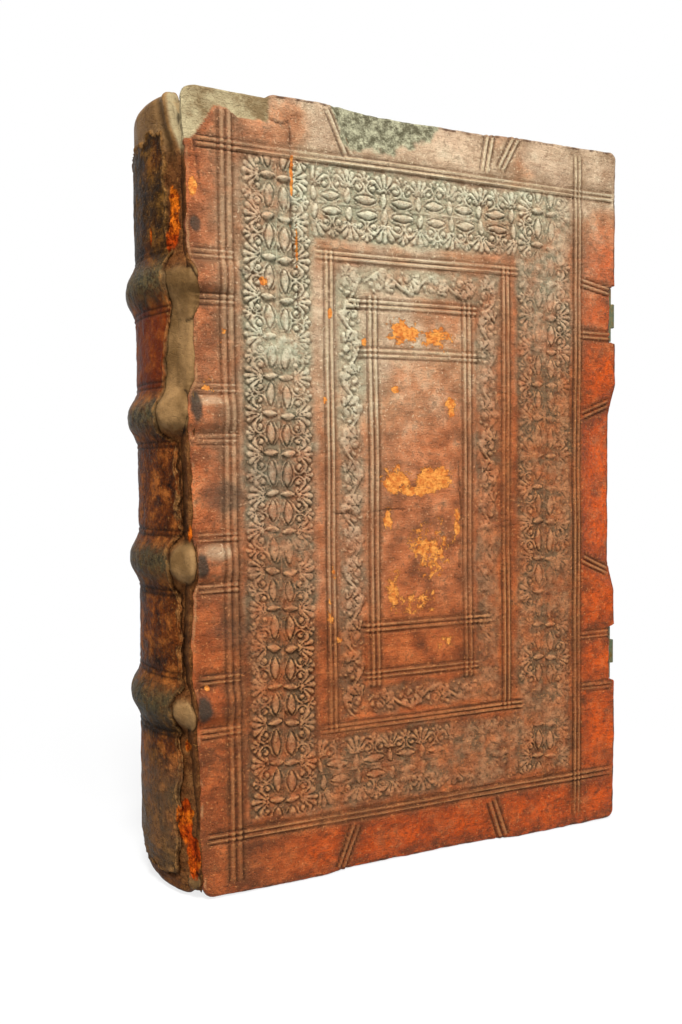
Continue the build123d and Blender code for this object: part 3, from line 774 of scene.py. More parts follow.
def spine_surface(angle, z):
    """Radius of the spine's leather, the old piece laid back on it included, and the masks of its finish."""
    arc = angle * DEGREE
    ragged = 2.6 * fractal(z, angle, 7, 61) + 0.8 * fractal(z, angle, 1.8, 62)
    front_limit = follow(OLD_EDGE, z) + ragged
    over = np.where(angle > 0, angle - front_limit, -angle - OLD_EDGE_REAR - ragged)
    top = OLD_LEATHER_HIGH + 2.2 * ragged + 3 * np.sin(np.radians(angle * 4))
    over = np.maximum(over, np.maximum(z - top, OLD_LEATHER_LOW + ragged - z))
    old = smooth(0.35, -0.35, over)
    lip = bell(over + 0.9, 0.7)
    slope = (follow(OLD_EDGE, z + 0.5) - follow(OLD_EDGE, z - 0.5)) * DEGREE
    border = bell(over - 0.5, 0.55 * np.hypot(1, slope)) * (angle > 0) * smooth(300, 260, z)
    front = smooth(10, 20, angle)
    knuckle = np.zeros(np.shape(angle))
    for centre, half, rise, middle, width in KNUCKLES:
        spread = oval(angle, z, middle, centre, width, half) + 0.12 * fractal(angle, z, 5, 64)
        knuckle = np.maximum(knuckle, rise * smooth(1.15, 0.55, spread))
    torn = np.zeros(np.shape(angle))
    for place in TORN:
        torn = np.maximum(torn, smooth(1.35, 0.55, oval(angle, z, *place)))
    torn = smooth(0.42, 0.62, torn + 0.5 * fractal(arc, z, 3.2, 65)) * (angle > 0)
    fold_line = follow(FOLD_PATH, z)
    fold = front * smooth(280, 298, z) * bell(angle - fold_line, 2.6)
    valley = front * smooth(286, 300, z) * bell(angle - fold_line + 4.6, 2.6)
    pinched = front * smooth(305, 313, z) * bell(angle - NOTCH_ANGLE, 0.8)
    lines = np.zeros(np.shape(angle))
    bent_z = z + 0.4 * fractal(angle, z, 12, 66)
    for centre in BAND_HEIGHTS:
        for offset in BAND_LINE_OFFSETS:
            lines += bell(bent_z - centre - offset, 0.6)
    band = band_profile(z) / BAND_RISE
    radius = SPINE_RADIUS + band_profile(z) + (KNUCKLE_RISE * knuckle - REBACK_DROP) * (1 - old)
    radius += 0.45 * lip - 0.45 * border - 0.5 * torn - 0.4 * lines * old
    radius += 1.3 * fold - 0.4 * valley - 0.8 * pinched
    radius += 0.3 * fractal(arc, z, 24, 71) - BAND_SINK * smooth(44, 50, np.abs(angle)) * band
    radius += old * (0.3 * fractal(arc, z, 5, 73) + 0.1 * fractal(arc, z, 1.6, 75))
    radius += torn * 0.5 * fractal(arc, z, 2.2, 78)
    tail_creases = smooth(24, 8, z) * np.sin(1.9 * z + 0.12 * angle + 2 * fractal(angle, z, 15, 79))
    radius += 0.22 * tail_creases
    tan = np.maximum(knuckle, 0.8 * smooth(290, 303, z))
    tan = np.maximum(tan, smooth(186, 190, z) * smooth(252, 248, z))
    label = smooth(LABEL_LOW - 1, LABEL_LOW + 1, z) * smooth(LABEL_HIGH + 1, LABEL_HIGH - 1, z)
    masks = {
        "old": old,
        "lip": lip,
        "crack": np.clip(0.85 * border, 0, 1),
        "knuckle": knuckle,
        "tan": np.clip(tan, 0, 1),
        "torn": torn,
        "label": label * smooth(-34, -30, angle) * old,
        # Where shade is painted: the lines by the bands, the valley beside the fold, the pinch at the head and
        # the tail creases
        "hollow": np.clip(lines * old + 0.6 * valley + pinched + 0.6 * np.clip(tail_creases, -1, 0), 0, 1),
        "repair": front * smooth(290, 299, z) * smooth(0.5, 2.5, angle - fold_line),
        "dust": 0.4 * smooth(62, 44, z),
        "band": band,
        "red": follow(REDNESS, z) + 0.5 * fractal(arc, z, 14, 80),
    }
    return radius, masks


def spine_lean(angle, z):
    """The spine sags: it stands a little proud above the tail cap and drawn in at the head."""
    return follow(SPINE_SAG, z) * np.cos(np.radians(angle * 90 / SPINE_END)) ** 2


def cap_notch(angle, z):
    """Fall of the head and rise of the tail of the spine beside the boards, where the caps are pinched in."""
    pinch = bell(np.clip(NOTCH_ANGLE - np.abs(angle), 0, None), NOTCH_WIDTH)
    return pinch * (HEAD_NOTCH * smooth(300, COVER_HEIGHT, z) - TAIL_NOTCH * smooth(14, 0, z))


def cap_draw(z):
    """How far the leather is drawn in where it rounds over the caps."""
    left = np.clip(CAP_ROUND - np.minimum(z, COVER_HEIGHT - z), 0, CAP_ROUND)
    return CAP_ROUND - np.sqrt(CAP_ROUND**2 - left**2)


def spine_point(angle, radius, z):
    """Place of a point of the spine, kept clear of the boards."""
    turn = np.radians(angle)
    x = SPINE_CENTRE - radius * np.cos(turn) - spine_lean(angle, z)
    y = -radius * np.sin(turn)
    limit = COVER_FACE + BAND_FLAT + BAND_SPREAD
    return np.stack([np.minimum(x, 0), np.clip(y, -limit, limit), z - cap_notch(angle, z)], -1)


def spine():
    """Spine leather from lip to lip over both caps, closed at the joints."""
    heights = steps(CAP_ROUND, COVER_HEIGHT - CAP_ROUND, ROW_STEP)
    turns = np.radians(np.linspace(15, 90, 6))
    rise = CAP_ROUND * np.sin(turns)
    level = np.concatenate([CAP_ROUND - rise[::-1], heights, COVER_HEIGHT - CAP_ROUND + rise])
    drawn = cap_draw(level)
    rear, inner, outer = np.linspace(-1, 0, 50), np.linspace(0, 0.5, 40), np.linspace(0.5, 1, 80)
    share = np.concatenate([rear[:-1], inner[:-1], outer])
    end = np.degrees(np.arccos(SPINE_CENTRE / (SPINE_RADIUS - REBACK_DROP + band_profile(level))))
    angle = share[None, :] * end[:, None]
    z = np.broadcast_to(level[:, None], angle.shape)
    radius, masks = spine_surface(angle, z)
    crush = 0.8 * fractal(angle, z, 14, 77) * drawn[:, None] / CAP_ROUND
    body = spine_point(angle, radius - drawn[:, None], np.clip(z + crush, 0, COVER_HEIGHT))
    patchwork = Patchwork()
    patchwork.add(body, masks, flip=True)
    lip_shares = ((0.35, 0.0), (0.75, 0.1), (1.0, 0.4), (1.0, 1.2))
    for row, base, inward in ((0, 0.0, 1), (-1, COVER_HEIGHT, -1)):
        rows = [body[row]]
        for part, drop in lip_shares:
            ring_radius = LIP_RADIUS + (radius[row] - CAP_ROUND - LIP_RADIUS) * (1 - part)
            rows.append(spine_point(angle[row], ring_radius, np.full(angle.shape[1], base + inward * drop)))
        patchwork.add(np.stack(rows), {"tan": np.full((len(rows), angle.shape[1]), 0.7)}, flip=inward > 0)
    for column, facing in ((0, -1), (-1, 1)):
        skin = body[:, column]
        wall = skin.copy()
        wall[:, 1] = -facing * np.maximum(np.abs(skin[:, 1]) - WALL_DEPTH, WALL_FOOT)
        patchwork.add(np.stack([skin, wall]), {"crack": np.ones((2, len(skin)))}, flip=facing > 0)
    return patchwork.piece("spine_leather")


# Joint strips: height and x of the left edge and of the crease; depth of the tucked ends by the height
STRIP_LEFT = ((0, -7.4), (262, -7.4), (290, -2.8), (320, -2.8))
STRIP_RIGHT = 2.8
STRIP_CORNER = 4.5
STRIP_COLUMNS = 40
CREASE = ((0, -1.4), (30, -2.0), (62, -3.5), (100, -4.6), (165, -4.3), (190, -4.3), (215, -2.7), (320, -2.5))
TUCKED = ((0.3, 3.0), (0.5, 1.0), (0.9, 0.35), (1.5, 0.0))


def crease_line(z, seed):
    """Where the leather of a joint is creased, by the height."""
    crooked = 0.7 * waver(z, 16, seed + 31) + 0.25 * waver(z, 3, seed + 34)
    return follow(CREASE, z) + crooked * smooth(312, 280, z)


def joint_strip(name, side, seed, damaged):
    """Leather curved over a joint: creased beside the spine, swelling, and going under the cover's edge."""
    ends = np.array([height for height, _ in TUCKED])
    middle = steps(ends[-1], COVER_HEIGHT - ends[-1], ROW_STEP)
    heights = np.concatenate([ends[:-1], middle, COVER_HEIGHT - ends[-2::-1]])
    share, level_z = np.meshgrid(np.linspace(0, 1, STRIP_COLUMNS), heights, indexing="ij")
    tuck = follow(TUCKED, np.minimum(level_z, COVER_HEIGHT - level_z))
    left = follow(STRIP_LEFT, level_z)
    x = left + share * (STRIP_RIGHT - left)
    cut = STRIP_CORNER * smooth(-4.0, -0.6, x)
    z = cut + level_z * (1 - 2 * cut / COVER_HEIGHT)
    on_board = COVER_FACE + cover_surface(np.clip(x, JOINT_GAP, None), z, seed, damaged)[0]
    over_spine = SPINE_CENTRE - np.minimum(x, 0)
    reach = SPINE_RADIUS - REBACK_DROP + band_profile(z)
    angle = np.degrees(np.arccos(np.clip(over_spine / reach, -1, 1))) + np.maximum(x, 0) / DEGREE
    radius, masks = spine_surface(-side * angle, z)
    on_spine = np.sqrt(np.clip((radius - cap_draw(z)) ** 2 - over_spine**2, 0, None))
    on_spine = np.minimum(on_spine, COVER_FACE + BAND_FLAT + KNUCKLE_RISE)
    knuckle = masks["knuckle"]
    bulge = smooth(0.12, 0.4, knuckle)
    crease_x = crease_line(z, seed)
    off = x - crease_x
    edge = FACE_LEFT + joint_shift(z, seed, damaged)
    soft = masks["tan"] * smooth(290, 270, z)
    over = smooth(-0.1 - 2.4 * soft, 1.3 + 1.2 * soft, off)
    level = on_spine + (on_board + KNUCKLE_RISE * knuckle - on_spine) * over
    shown = smooth(0, 0.12, share) * np.maximum(smooth(0.7, -0.3, x - edge), bulge)
    crease = bell(off, 0.55) * (1 - masks["tan"])
    crease = np.clip(crease * (0.9 + 0.7 * fractal(z, x, 12, seed + 33)), 0, 1)
    outline = bell(knuckle - 0.2, 0.1) * (off > 0)
    roll = puff(2 * off / np.maximum(edge - crease_x, 1.2) - 1) * smooth(300, 285, z)
    level = level + shown * (0.5 * roll - 0.15 - 0.9 * crease - 0.4 * outline)
    level = level - 0.7 * (1 - shown) * (off > 0)
    level = level + 0.15 * fractal(x, z, 3, seed + 35) - tuck
    masks["crack"] = np.clip(masks["crack"] + crease + outline, 0, 1)
    masks["tan"] = np.maximum(np.clip(1.4 * knuckle, 0, 1), masks["tan"] * smooth(2.4, 1.2, x))
    masks["repair"] = damaged * smooth(290, 299, z) + np.zeros(z.shape)
    patchwork = Patchwork()
    patchwork.add(np.stack([x, side * level, z - cap_notch(angle, z)], -1), masks, flip=side < 0)
    return patchwork.piece(name)


# Leaves and endbands
LEAF_SEED = 5
LEAF_STEP = 0.34
LEAF_PROUD = 0.22
ENDBAND_CORE = 2.05
ENDBAND_REACH = 46.0
WRAP = 0.9
TINT_LENGTH = 3.6


def leaf_edges():
    """Edges of the leaves at head, tail and fore-edge, with the gatherings standing a little uneven."""
    across = steps(-HALF_BLOCK, HALF_BLOCK, LEAF_STEP)
    fore = COVER_WIDTH - SQUARE
    hollow_radius = (FORE_HOLLOW**2 + HALF_BLOCK**2) / (2 * FORE_HOLLOW)
    fore_x = fore - FORE_HOLLOW - hollow_radius + np.sqrt(hollow_radius**2 - across**2)
    fore_x = 2 * (fore - FORE_HOLLOW) - fore_x
    spine_x = SPINE_CENTRE - np.sqrt(BLOCK_RADIUS**2 - across**2)
    leaf = np.random.default_rng(LEAF_SEED).uniform(-0.16, 0.16, len(across)) + 0.12 * np.sin(across * 2.6)
    patchwork = Patchwork()
    rows = np.linspace(0, 1, 90)[:, None]
    for level, outward in ((COVER_HEIGHT - SQUARE, 1), (SQUARE, -1)):
        x = spine_x + rows * (fore_x - spine_x)
        y = np.broadcast_to(across, x.shape)
        z = level + outward * (LEAF_PROUD + leaf + 0.14 * noise(x, y, 5, 81))
        soil = smooth(0.75, 1.0, rows) + np.zeros(x.shape)
        patchwork.add(np.stack([x, y, z], -1), {"soil": soil}, flip=outward < 0)
    z = SQUARE + rows * (COVER_HEIGHT - 2 * SQUARE)
    x = fore_x + LEAF_PROUD + leaf + 0.16 * noise(z, across, 6, 83)
    y = np.broadcast_to(across, x.shape)
    soil = smooth(0.12, 0.0, rows) + smooth(0.88, 1.0, rows) + np.zeros(x.shape)
    patchwork.add(np.stack([x, y, np.broadcast_to(z, x.shape)], -1), {"soil": soil}, flip=True)
    return patchwork.piece("leaf_edges")


def endband(name, level):
    """Thread wound round a core, in two tints by turns."""
    angle = np.linspace(-ENDBAND_REACH, ENDBAND_REACH, 361)[:, None]
    around = np.linspace(0, 2 * math.pi, 25)[None, :]
    along = np.radians(angle) * BLOCK_RADIUS
    wraps = np.abs(np.sin(along * math.pi / WRAP + 0.25 * np.cos(around)))
    thick = ENDBAND_CORE - 0.16 + 0.16 * wraps
    radius = LIP_RADIUS + thick * np.cos(around)
    x = np.minimum(SPINE_CENTRE - radius * np.cos(np.radians(angle)), -0.02)
    y = -radius * np.sin(np.radians(angle))
    cap = level + CAP_ROUND * np.sign(level - COVER_HEIGHT / 2)
    z = level + thick * np.sin(around) - cap_notch(angle, cap)
    tint = np.floor(along / TINT_LENGTH) % 2 + np.zeros(thick.shape)
    patchwork = Patchwork()
    patchwork.add(np.stack([x, y, z], -1), {"tint": tint})
    return patchwork.piece(name)


# Materials
def srgb(red, green, blue):
    """Linear colour of red, green and blue out of 255."""
    channel = [c / 255 / 12.92 if c <= 10 else ((c / 255 + 0.055) / 1.055) ** 2.4 for c in (red, green, blue)]
    return (*channel, 1.0)


class Finish:
    """Material whose nodes are chained by short calls. A tone is a socket, or red, green, blue out of 255."""

    def __init__(self, name):
        self.material = bpy.data.materials.new(name)
        self.material.use_nodes = True
        self.tree = self.material.node_tree
        self.shader = self.tree.nodes["Principled BSDF"]
        self.place = self.add("TexCoord").outputs["Object"]

    def add(self, kind, inputs=None, **settings):
        node = self.tree.nodes.new("ShaderNode" + kind)
        for key, value in settings.items():
            setattr(node, key, value)
        for key, value in (inputs or {}).items():
            self.feed(node.inputs[key], value)
        return node

    def feed(self, socket, value):
        if isinstance(value, bpy.types.NodeSocket):
            self.tree.links.new(value, socket)
        else:
            socket.default_value = value

    def noise(self, size, detail=4.0, roughness=0.55, stretch=None):
        """Noise with features of a size in millimetres, stretched along an axis if asked."""
        place = self.place
        if stretch:
            place = self.add("Mapping", {"Vector": place, "Scale": stretch}).outputs[0]
        inputs = {"Vector": place, "Scale": 1 / (size * MM), "Detail": detail, "Roughness": roughness}
        return self.add("TexNoise", inputs).outputs["Fac"]

    def cells(self, size):
        inputs = {"Vector": self.place, "Scale": 1 / (size * MM)}
        return self.add("TexVoronoi", inputs, feature="DISTANCE_TO_EDGE").outputs["Distance"]

    def mask(self, name, share=None):
        """Weight painted on the mesh, times a number or another weight if one is given."""
        weight = self.add("Attribute", attribute_name=name).outputs["Fac"]
        return weight if share is None else self.math("MULTIPLY", weight, share)

    def math(self, operation, a, b):
        return self.add("Math", {0: a, 1: b}, operation=operation).outputs[0]

    def range(self, value, low, high, to_low=0.0, to_high=1.0):
        inputs = {"Value": value, "From Min": low, "From Max": high, "To Min": to_low, "To Max": to_high}
        return self.add("MapRange", inputs, interpolation_type="SMOOTHSTEP").outputs["Result"]

    def ramp(self, value, *stops):
        """Tones along a value: each stop a position, then red, green and blue."""
        node = self.add("ValToRGB", {"Fac": value})
        for _ in stops[2:]:
            node.color_ramp.elements.new(0.5)
        for element, (position, *tone) in zip(node.color_ramp.elements, stops):
            element.position = position
            element.color = srgb(*tone)
        return node.outputs["Color"]

    def mix(self, factor, first, second):
        first, second = (srgb(*tone) if isinstance(tone, tuple) else tone for tone in (first, second))
        return self.add("Mix", {0: factor, 6: first, 7: second}, data_type="RGBA").outputs[2]

    def paint(self, colour, *layers):
        """Layers over a colour, the lowest first: each a weight and a tone."""
        for weight, tone in layers:
            colour = self.mix(weight, colour, tone)
        return colour

    def grain(self, *layers):
        """Chain of bumps: each layer a height and its depth in millimetres."""
        normal = None
        for height, depth in layers:
            inputs = {"Height": height, "Distance": depth * MM, "Strength": 1.0}
            if normal is not None:
                inputs["Normal"] = normal
            normal = self.add("Bump", inputs).outputs["Normal"]
        self.feed(self.shader.inputs["Normal"], normal)

    def surface(self, colour, roughness, **values):
        self.feed(self.shader.inputs["Base Color"], colour)
        self.feed(self.shader.inputs["Roughness"], roughness)
        for key, value in values.items():
            self.shader.inputs[key.replace("_", " ")].default_value = value
        return self.material


def cover_finish():
    """Brown calf: mottled, dark in the tooling, flaked and worn through, with a painted sheen that makes it
    paler and greyer toward the head, painted shade in the hollows of the tooling and painted highlights on its
    raised forms.
    """
    finish = Finish("cover_leather")
    mottle = finish.noise(8, 6, 0.65)
    fine = finish.noise(2.0, 8, 0.75)
    wrinkle = finish.noise(2.4, 6, 0.6, (0.22, 1, 1))
    hollow, relief = finish.mask("hollow"), finish.mask("relief")
    abraded, repair = finish.mask("abraded"), finish.mask("repair")
    # Painted sheen, broken up by noise
    pale = finish.mask("pale", finish.range(finish.noise(30, 5), 0.3, 0.6, 0.55, 1.0))

    def tone(plain, sheen_tone):
        """Tone on brown leather, going over to another where a sheen is painted."""
        return finish.mix(pale, plain, sheen_tone)

    calf = ((0.3, 104, 54, 28), (0.46, 172, 88, 44), (0.6, 208, 114, 60), (0.72, 178, 122, 76))
    orange = finish.mix(finish.noise(6, 5, 0.55, (1, 1, 0.25)), (232, 96, 25), (176, 68, 20))
    vivid = finish.mask("vivid", finish.range(finish.noise(10, 5), 0.25, 0.55))
    # Paler, greyer colour of the painted sheen
    sheen_tone = finish.ramp(mottle, (0.3, 152, 100, 66), (0.5, 204, 152, 110), (0.7, 226, 202, 164))
    # Tooled borders: the ground is darkened by the tool and by painted shade, and the raised forms are painted
    # lighter as a highlight
    ground = tone((112, 86, 60), (160, 158, 130))
    lit_crest = tone(finish.mix(mottle, (154, 122, 88), (196, 124, 78)), (208, 204, 174))
    # Tooled lines: grooves dark, partly painted shade, and the beads between them painted lighter as a
    # highlight
    bead = tone((160, 104, 62), (210, 186, 147))

    # Painted silvery highlight where the painted sheen is strongest
    painted_silver = finish.range(finish.mask("pale"), 0.85, 1.2, 0.0, 0.6)
    smudge = finish.range(finish.noise(13, 8, 0.72), 0.5, 0.66, 0.0, 0.6)
    crease = finish.range(wrinkle, 0.52, 0.66, 0.0, 0.4)
    dirt = finish.mask("grime", finish.range(finish.noise(10, 7, 0.7), 0.36, 0.6, 0.05, 0.75))
    tooled = finish.mask("tooled", finish.range(finish.noise(11, 7, 0.7), 0.34, 0.6, 0.3, 1.0))
    lined = finish.mask("lined", finish.range(mottle, 0.3, 0.6, 0.2, 0.6))
    rubbed = finish.range(fine, 0.45, 0.66, 0.0, 0.7)
    # Pale specks painted as glints of light
    painted_glints = finish.range(finish.noise(1.3, 5, 0.7), 0.57, 0.67, 0.0, 0.6)
    pits = finish.range(finish.noise(1.0, 4, 0.6), 0.4, 0.32, 0.0, 0.65)
    # Painted shade in the hollows of the tooling, and a painted highlight on its raised forms
    shade = finish.math("MULTIPLY", finish.range(hollow, 0.03, 0.4), finish.range(pale, 0.0, 1.0, 0.58, 0.46))
    glint = finish.range(hollow, -0.1, -0.45, 0.0, 0.42)
    edge = finish.mask("edge", finish.range(finish.noise(4, 6), 0.4, 0.62, 0.2, 0.9))
    ragged = finish.range(finish.noise(3.6, 8, 0.74), 0.2, 0.8, -0.62, 0.42)
    flake = finish.range(finish.math("ADD", finish.mask("flake"), ragged), 0.40, 0.50)
    fibre = finish.range(finish.noise(2.2, 6, 0.7), 0.35, 0.65)
    grazes = finish.range(finish.noise(3.4, 7, 0.8), 0.4, 0.64)
    patches = finish.range(finish.noise(10, 6, 0.65), 0.36, 0.62)
    colour = finish.paint(
        tone(finish.mix(vivid, finish.ramp(mottle, *calf), orange), sheen_tone),
        (painted_silver, finish.mix(mottle, (206, 184, 152), (222, 210, 182))),
        (smudge, tone((88, 50, 29), (150, 112, 82))),
        (crease, tone((104, 56, 30), (158, 122, 90))),
        (dirt, tone((84, 53, 33), (138, 110, 82))),
        # Tooled tone, with painted shade on the low ground and a painted highlight on the raised forms
        (tooled, finish.mix(finish.range(relief, -0.4, 0.3), ground, lit_crest)),
        (lined, finish.mix(finish.range(relief, -0.3, 0.2), (94, 62, 38), bead)),
        (rubbed, tone((84, 44, 24), (138, 108, 79))),
        (painted_glints, tone((214, 142, 84), (238, 220, 184))),
        (pits, tone((58, 32, 18), (104, 82, 58))),
        (shade, (40, 28, 17)),
        (glint, tone((206, 152, 96), (240, 232, 199))),
        # Pale tan torn edge by the joint, partly a painted highlight on the lifted lip
        (finish.mask("lip", 0.6), (190, 146, 100)),
        (edge, (77, 48, 28)),
        (finish.mask("stain"), (58, 53, 43)),
        (flake, finish.mix(fibre, (240, 162, 77), (198, 106, 44))),
        (abraded, finish.mix(grazes, (92, 87, 65), (186, 182, 149))),
        (repair, finish.mix(patches, (128, 106, 72), (184, 168, 129))),
        (finish.mask("crack", 0.8), (53, 29, 15)),
    )

    rough = finish.range(finish.noise(5, 5), 0.3, 0.7, 0.2, 0.38)
    rough = finish.math("ADD", rough, finish.range(hollow, -0.2, 0.3, 0.0, 0.2))
    bald = finish.math("MAXIMUM", flake, finish.math("MAXIMUM", abraded, repair))
    rough = finish.math("ADD", rough, finish.math("MULTIPLY", bald, 0.25))
    pores = finish.range(finish.cells(1.1), 0.0, 0.25)
    finish.grain((pores, 0.12), (fine, 0.7), (wrinkle, 0.6), (mottle, 0.7), (flake, -0.2))
    return finish.surface(colour, rough, Specular_IOR_Level=0.1)


def spine_finish():
    """Old dark calf laid on the khaki leather of the rebacking, cracked at the joints, torn to the fibre, with
    painted shade in its hollows and painted highlights on its raised lips and in specks.
    """
    finish = Finish("spine_leather")
    fine = finish.noise(2.0, 8, 0.75)
    patch = finish.noise(7, 6, 0.7)
    tan, repair, torn = finish.mask("tan"), finish.mask("repair"), finish.mask("torn")
    bareness = finish.range(tan, 0.0, 1.0, 1.0, 0.4)
    umber = finish.ramp(patch, (0.34, 18, 10, 3), (0.5, 58, 36, 12), (0.64, 120, 82, 36))
    russet = finish.ramp(patch, (0.34, 34, 14, 5), (0.5, 106, 52, 18), (0.64, 176, 102, 46))
    old = finish.paint(
        umber,
        (finish.range(finish.mask("red"), 0.1, 0.9), russet),
        (finish.mask("label", 0.55), (112, 40, 17)),
        (finish.mask("dust"), (132, 102, 70)),
        (finish.mask("band", 0.8), finish.mix(finish.range(fine, 0.42, 0.6), (40, 42, 30), (108, 98, 66))),
    )
    bark = finish.ramp(patch, (0.3, 64, 36, 15), (0.5, 104, 62, 31), (0.7, 138, 93, 52))
    khaki = finish.mix(finish.range(finish.noise(13, 4, 0.5), 0.36, 0.64), (108, 80, 47), (152, 117, 75))
    khaki = finish.mix(repair, khaki, finish.mix(patch, (128, 106, 72), (184, 168, 129)))
    # Pale tan edge of the old leather, partly a painted highlight on its raised lip
    lip = finish.mask("lip", finish.range(finish.noise(3, 6, 0.7), 0.4, 0.58, 0.0, 0.7))
    worn = finish.range(fine, 0.46, 0.66, 0.0, 0.7)
    # Pale specks painted as glints of light
    painted_glints = finish.range(finish.noise(1.4, 5, 0.7), 0.58, 0.68, 0.0, 0.6)
    fibre = finish.range(finish.noise(2.2, 7, 0.75), 0.38, 0.62)
    raw = finish.mix(finish.range(finish.noise(12, 4), 0.4, 0.6), (232, 120, 26), (192, 70, 14))
    colour = finish.paint(
        bark,
        (finish.math("MAXIMUM", tan, repair), khaki),
        (finish.mask("old"), old),
        (lip, (170, 122, 70)),
        (finish.math("MULTIPLY", worn, bareness), (38, 21, 8)),
        (finish.math("MULTIPLY", painted_glints, bareness), (168, 118, 62)),
        (torn, finish.mix(fibre, (104, 32, 7), raw)),
        # Painted shade in the hollows
        (finish.mask("hollow", 0.75), (24, 14, 6)),
        (finish.mask("crack", 0.9), (26, 14, 7)),
    )
    rough = finish.range(patch, 0.3, 0.7, 0.3, 0.55)
    rough = finish.math("ADD", rough, finish.math("MULTIPLY", torn, 0.3))
    crackle = finish.range(finish.cells(2.6), 0.0, 0.1)
    heights = ((fine, 0.8), (patch, 0.9), (crackle, 0.15))
    finish.grain(*((finish.math("MULTIPLY", height, bareness), depth) for height, depth in heights))
    return finish.surface(colour, rough, Specular_IOR_Level=0.03)


def paper_finish(name, tone, shade):
    finish = Finish(name)
    colour = finish.mix(finish.noise(28, 5), tone, shade)
    spots = finish.range(finish.noise(5, 3), 0.66, 0.74, 0.0, 0.5)
    colour = finish.mix(spots, colour, (146, 104, 58))
    finish.grain((finish.noise(1.2, 6, 0.7), 0.12))
    return finish.surface(colour, 0.85, Specular_IOR_Level=0.25)


def leaf_finish():
    finish = Finish("leaf_edges")
    stack = finish.noise(0.35, 2, 0.5, (0.02, 1, 0.02))
    colour = finish.paint(
        finish.ramp(stack, (0.3, 112, 84, 52), (0.5, 172, 142, 98), (0.7, 206, 180, 136)),
        (finish.range(finish.noise(30, 5), 0.45, 0.7, 0.0, 0.6), (120, 92, 60)),
        (finish.mask("soil", 0.6), (98, 74, 48)),
    )
    finish.grain((stack, 0.2))
    return finish.surface(colour, 0.85, Specular_IOR_Level=0.25)


def wood_finish():
    finish = Finish("board_wood")
    ring = finish.noise(2.4, 6, 0.6, (1, 1, 0.04))
    colour = finish.ramp(ring, (0.3, 84, 54, 30), (0.55, 124, 86, 50), (0.75, 150, 110, 68))
    finish.grain((ring, 0.2))
    return finish.surface(colour, 0.7, Specular_IOR_Level=0.3)


def thread_finish(name, first, second):
    finish = Finish(name)
    colour = finish.mix(finish.mask("tint"), first, second)
    colour = finish.mix(finish.range(finish.noise(3, 5), 0.4, 0.7, 0.0, 0.6), colour, (90, 68, 44))
    finish.grain((finish.noise(0.4, 4, 0.7), 0.15))
    return finish.surface(colour, 0.8, Specular_IOR_Level=0.25)


def brass_finish():
    finish = Finish("catch_brass")
    crust = finish.range(finish.noise(3.0, 6, 0.7), 0.36, 0.62)
    metal = finish.mix(finish.noise(1.5, 5), (122, 98, 46), (84, 64, 30))
    colour = finish.mix(crust, metal, finish.mix(finish.noise(2, 5), (52, 62, 40), (92, 104, 74)))
    finish.feed(finish.shader.inputs["Metallic"], finish.range(crust, 0.0, 0.6, 0.9, 0.1))
    finish.grain((finish.noise(0.8, 6, 0.7), 0.2), (crust, 0.1))
    return finish.surface(colour, finish.range(crust, 0.0, 1.0, 0.35, 0.8))


def dress(piece, material):
    """Give a piece one material in place of any it has."""
    piece.data.materials.clear()
    piece.data.materials.append(material)


# The dressed book
FRONT_SEED, REAR_SEED = 101, 501
FRONT_SPACING, REAR_SPACING = 0.54, 0.8
ENDBAND_RISE = 2.2

cover_leather = cover_finish()
spine_leather = spine_finish()

front = cover("front_cover", -1, FRONT_SEED, True, FRONT_SPACING)
rear = cover("rear_cover", 1, REAR_SEED, False, REAR_SPACING)
for piece in front:
    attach(piece, "front_cover")
for piece in rear:
    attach(piece, "rear_cover")
for piece in front + rear:
    dress(piece, cover_leather)
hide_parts("front_cover_leather", "front_corner_repair")
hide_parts("rear_cover_leather")

spine_skin = spine()
dress(spine_skin, spine_leather)
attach(spine_skin, "book_block")
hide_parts("reback_leather", "old_spine_leather")

for name, side, seed, damaged in (("front", -1, FRONT_SEED, True), ("rear", 1, REAR_SEED, False)):
    strip = joint_strip(f"{name}_joint_leather", side, seed, damaged)
    dress(strip, spine_leather)
    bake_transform(strip)

leaves = leaf_edges()
dress(leaves, leaf_finish())
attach(leaves, "book_block")

thread = thread_finish("endband_thread", (176, 148, 104), (112, 66, 44))
head_level, tail_level = COVER_HEIGHT - SQUARE + ENDBAND_RISE, SQUARE - ENDBAND_RISE
for name, level in (("head_endband", head_level), ("tail_endband", tail_level)):
    band = endband(f"{name}_thread", level)
    dress(band, thread)
    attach(band, "book_block")
    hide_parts(name)

paper = paper_finish("endpaper", (196, 170, 126), (166, 136, 92))
block_paper = paper_finish("leaf_paper", (190, 164, 120), (158, 128, 86))
wood = wood_finish()
cord = thread_finish("hemp_cord", (150, 124, 86), (150, 124, 86))
brass = brass_finish()
for name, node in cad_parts.items():
    if "pastedown" in name:
        dress(node, paper)
    elif name == "text_block" or "lining" in name:
        dress(node, block_paper)
    elif "board" in name or "pegs" in name:
        dress(node, wood)
    elif "support" in name or "slip" in name:
        dress(node, cord)
    elif "catch" in name:
        dress(node, brass)


# Floor, light and camera
FLOOR_SIZE = 12.0
FLOOR_LEVEL = -0.0004
FLOOR_GREY, FLOOR_SEEN = 0.5, 0.95
GLOW_NEAR, GLOW_FAR, LEAST_GLOW = 0.12, 0.3, 0.8
WORLD_LEVEL = 0.16
BOOK_MIDDLE = (0, 0, 0.17)


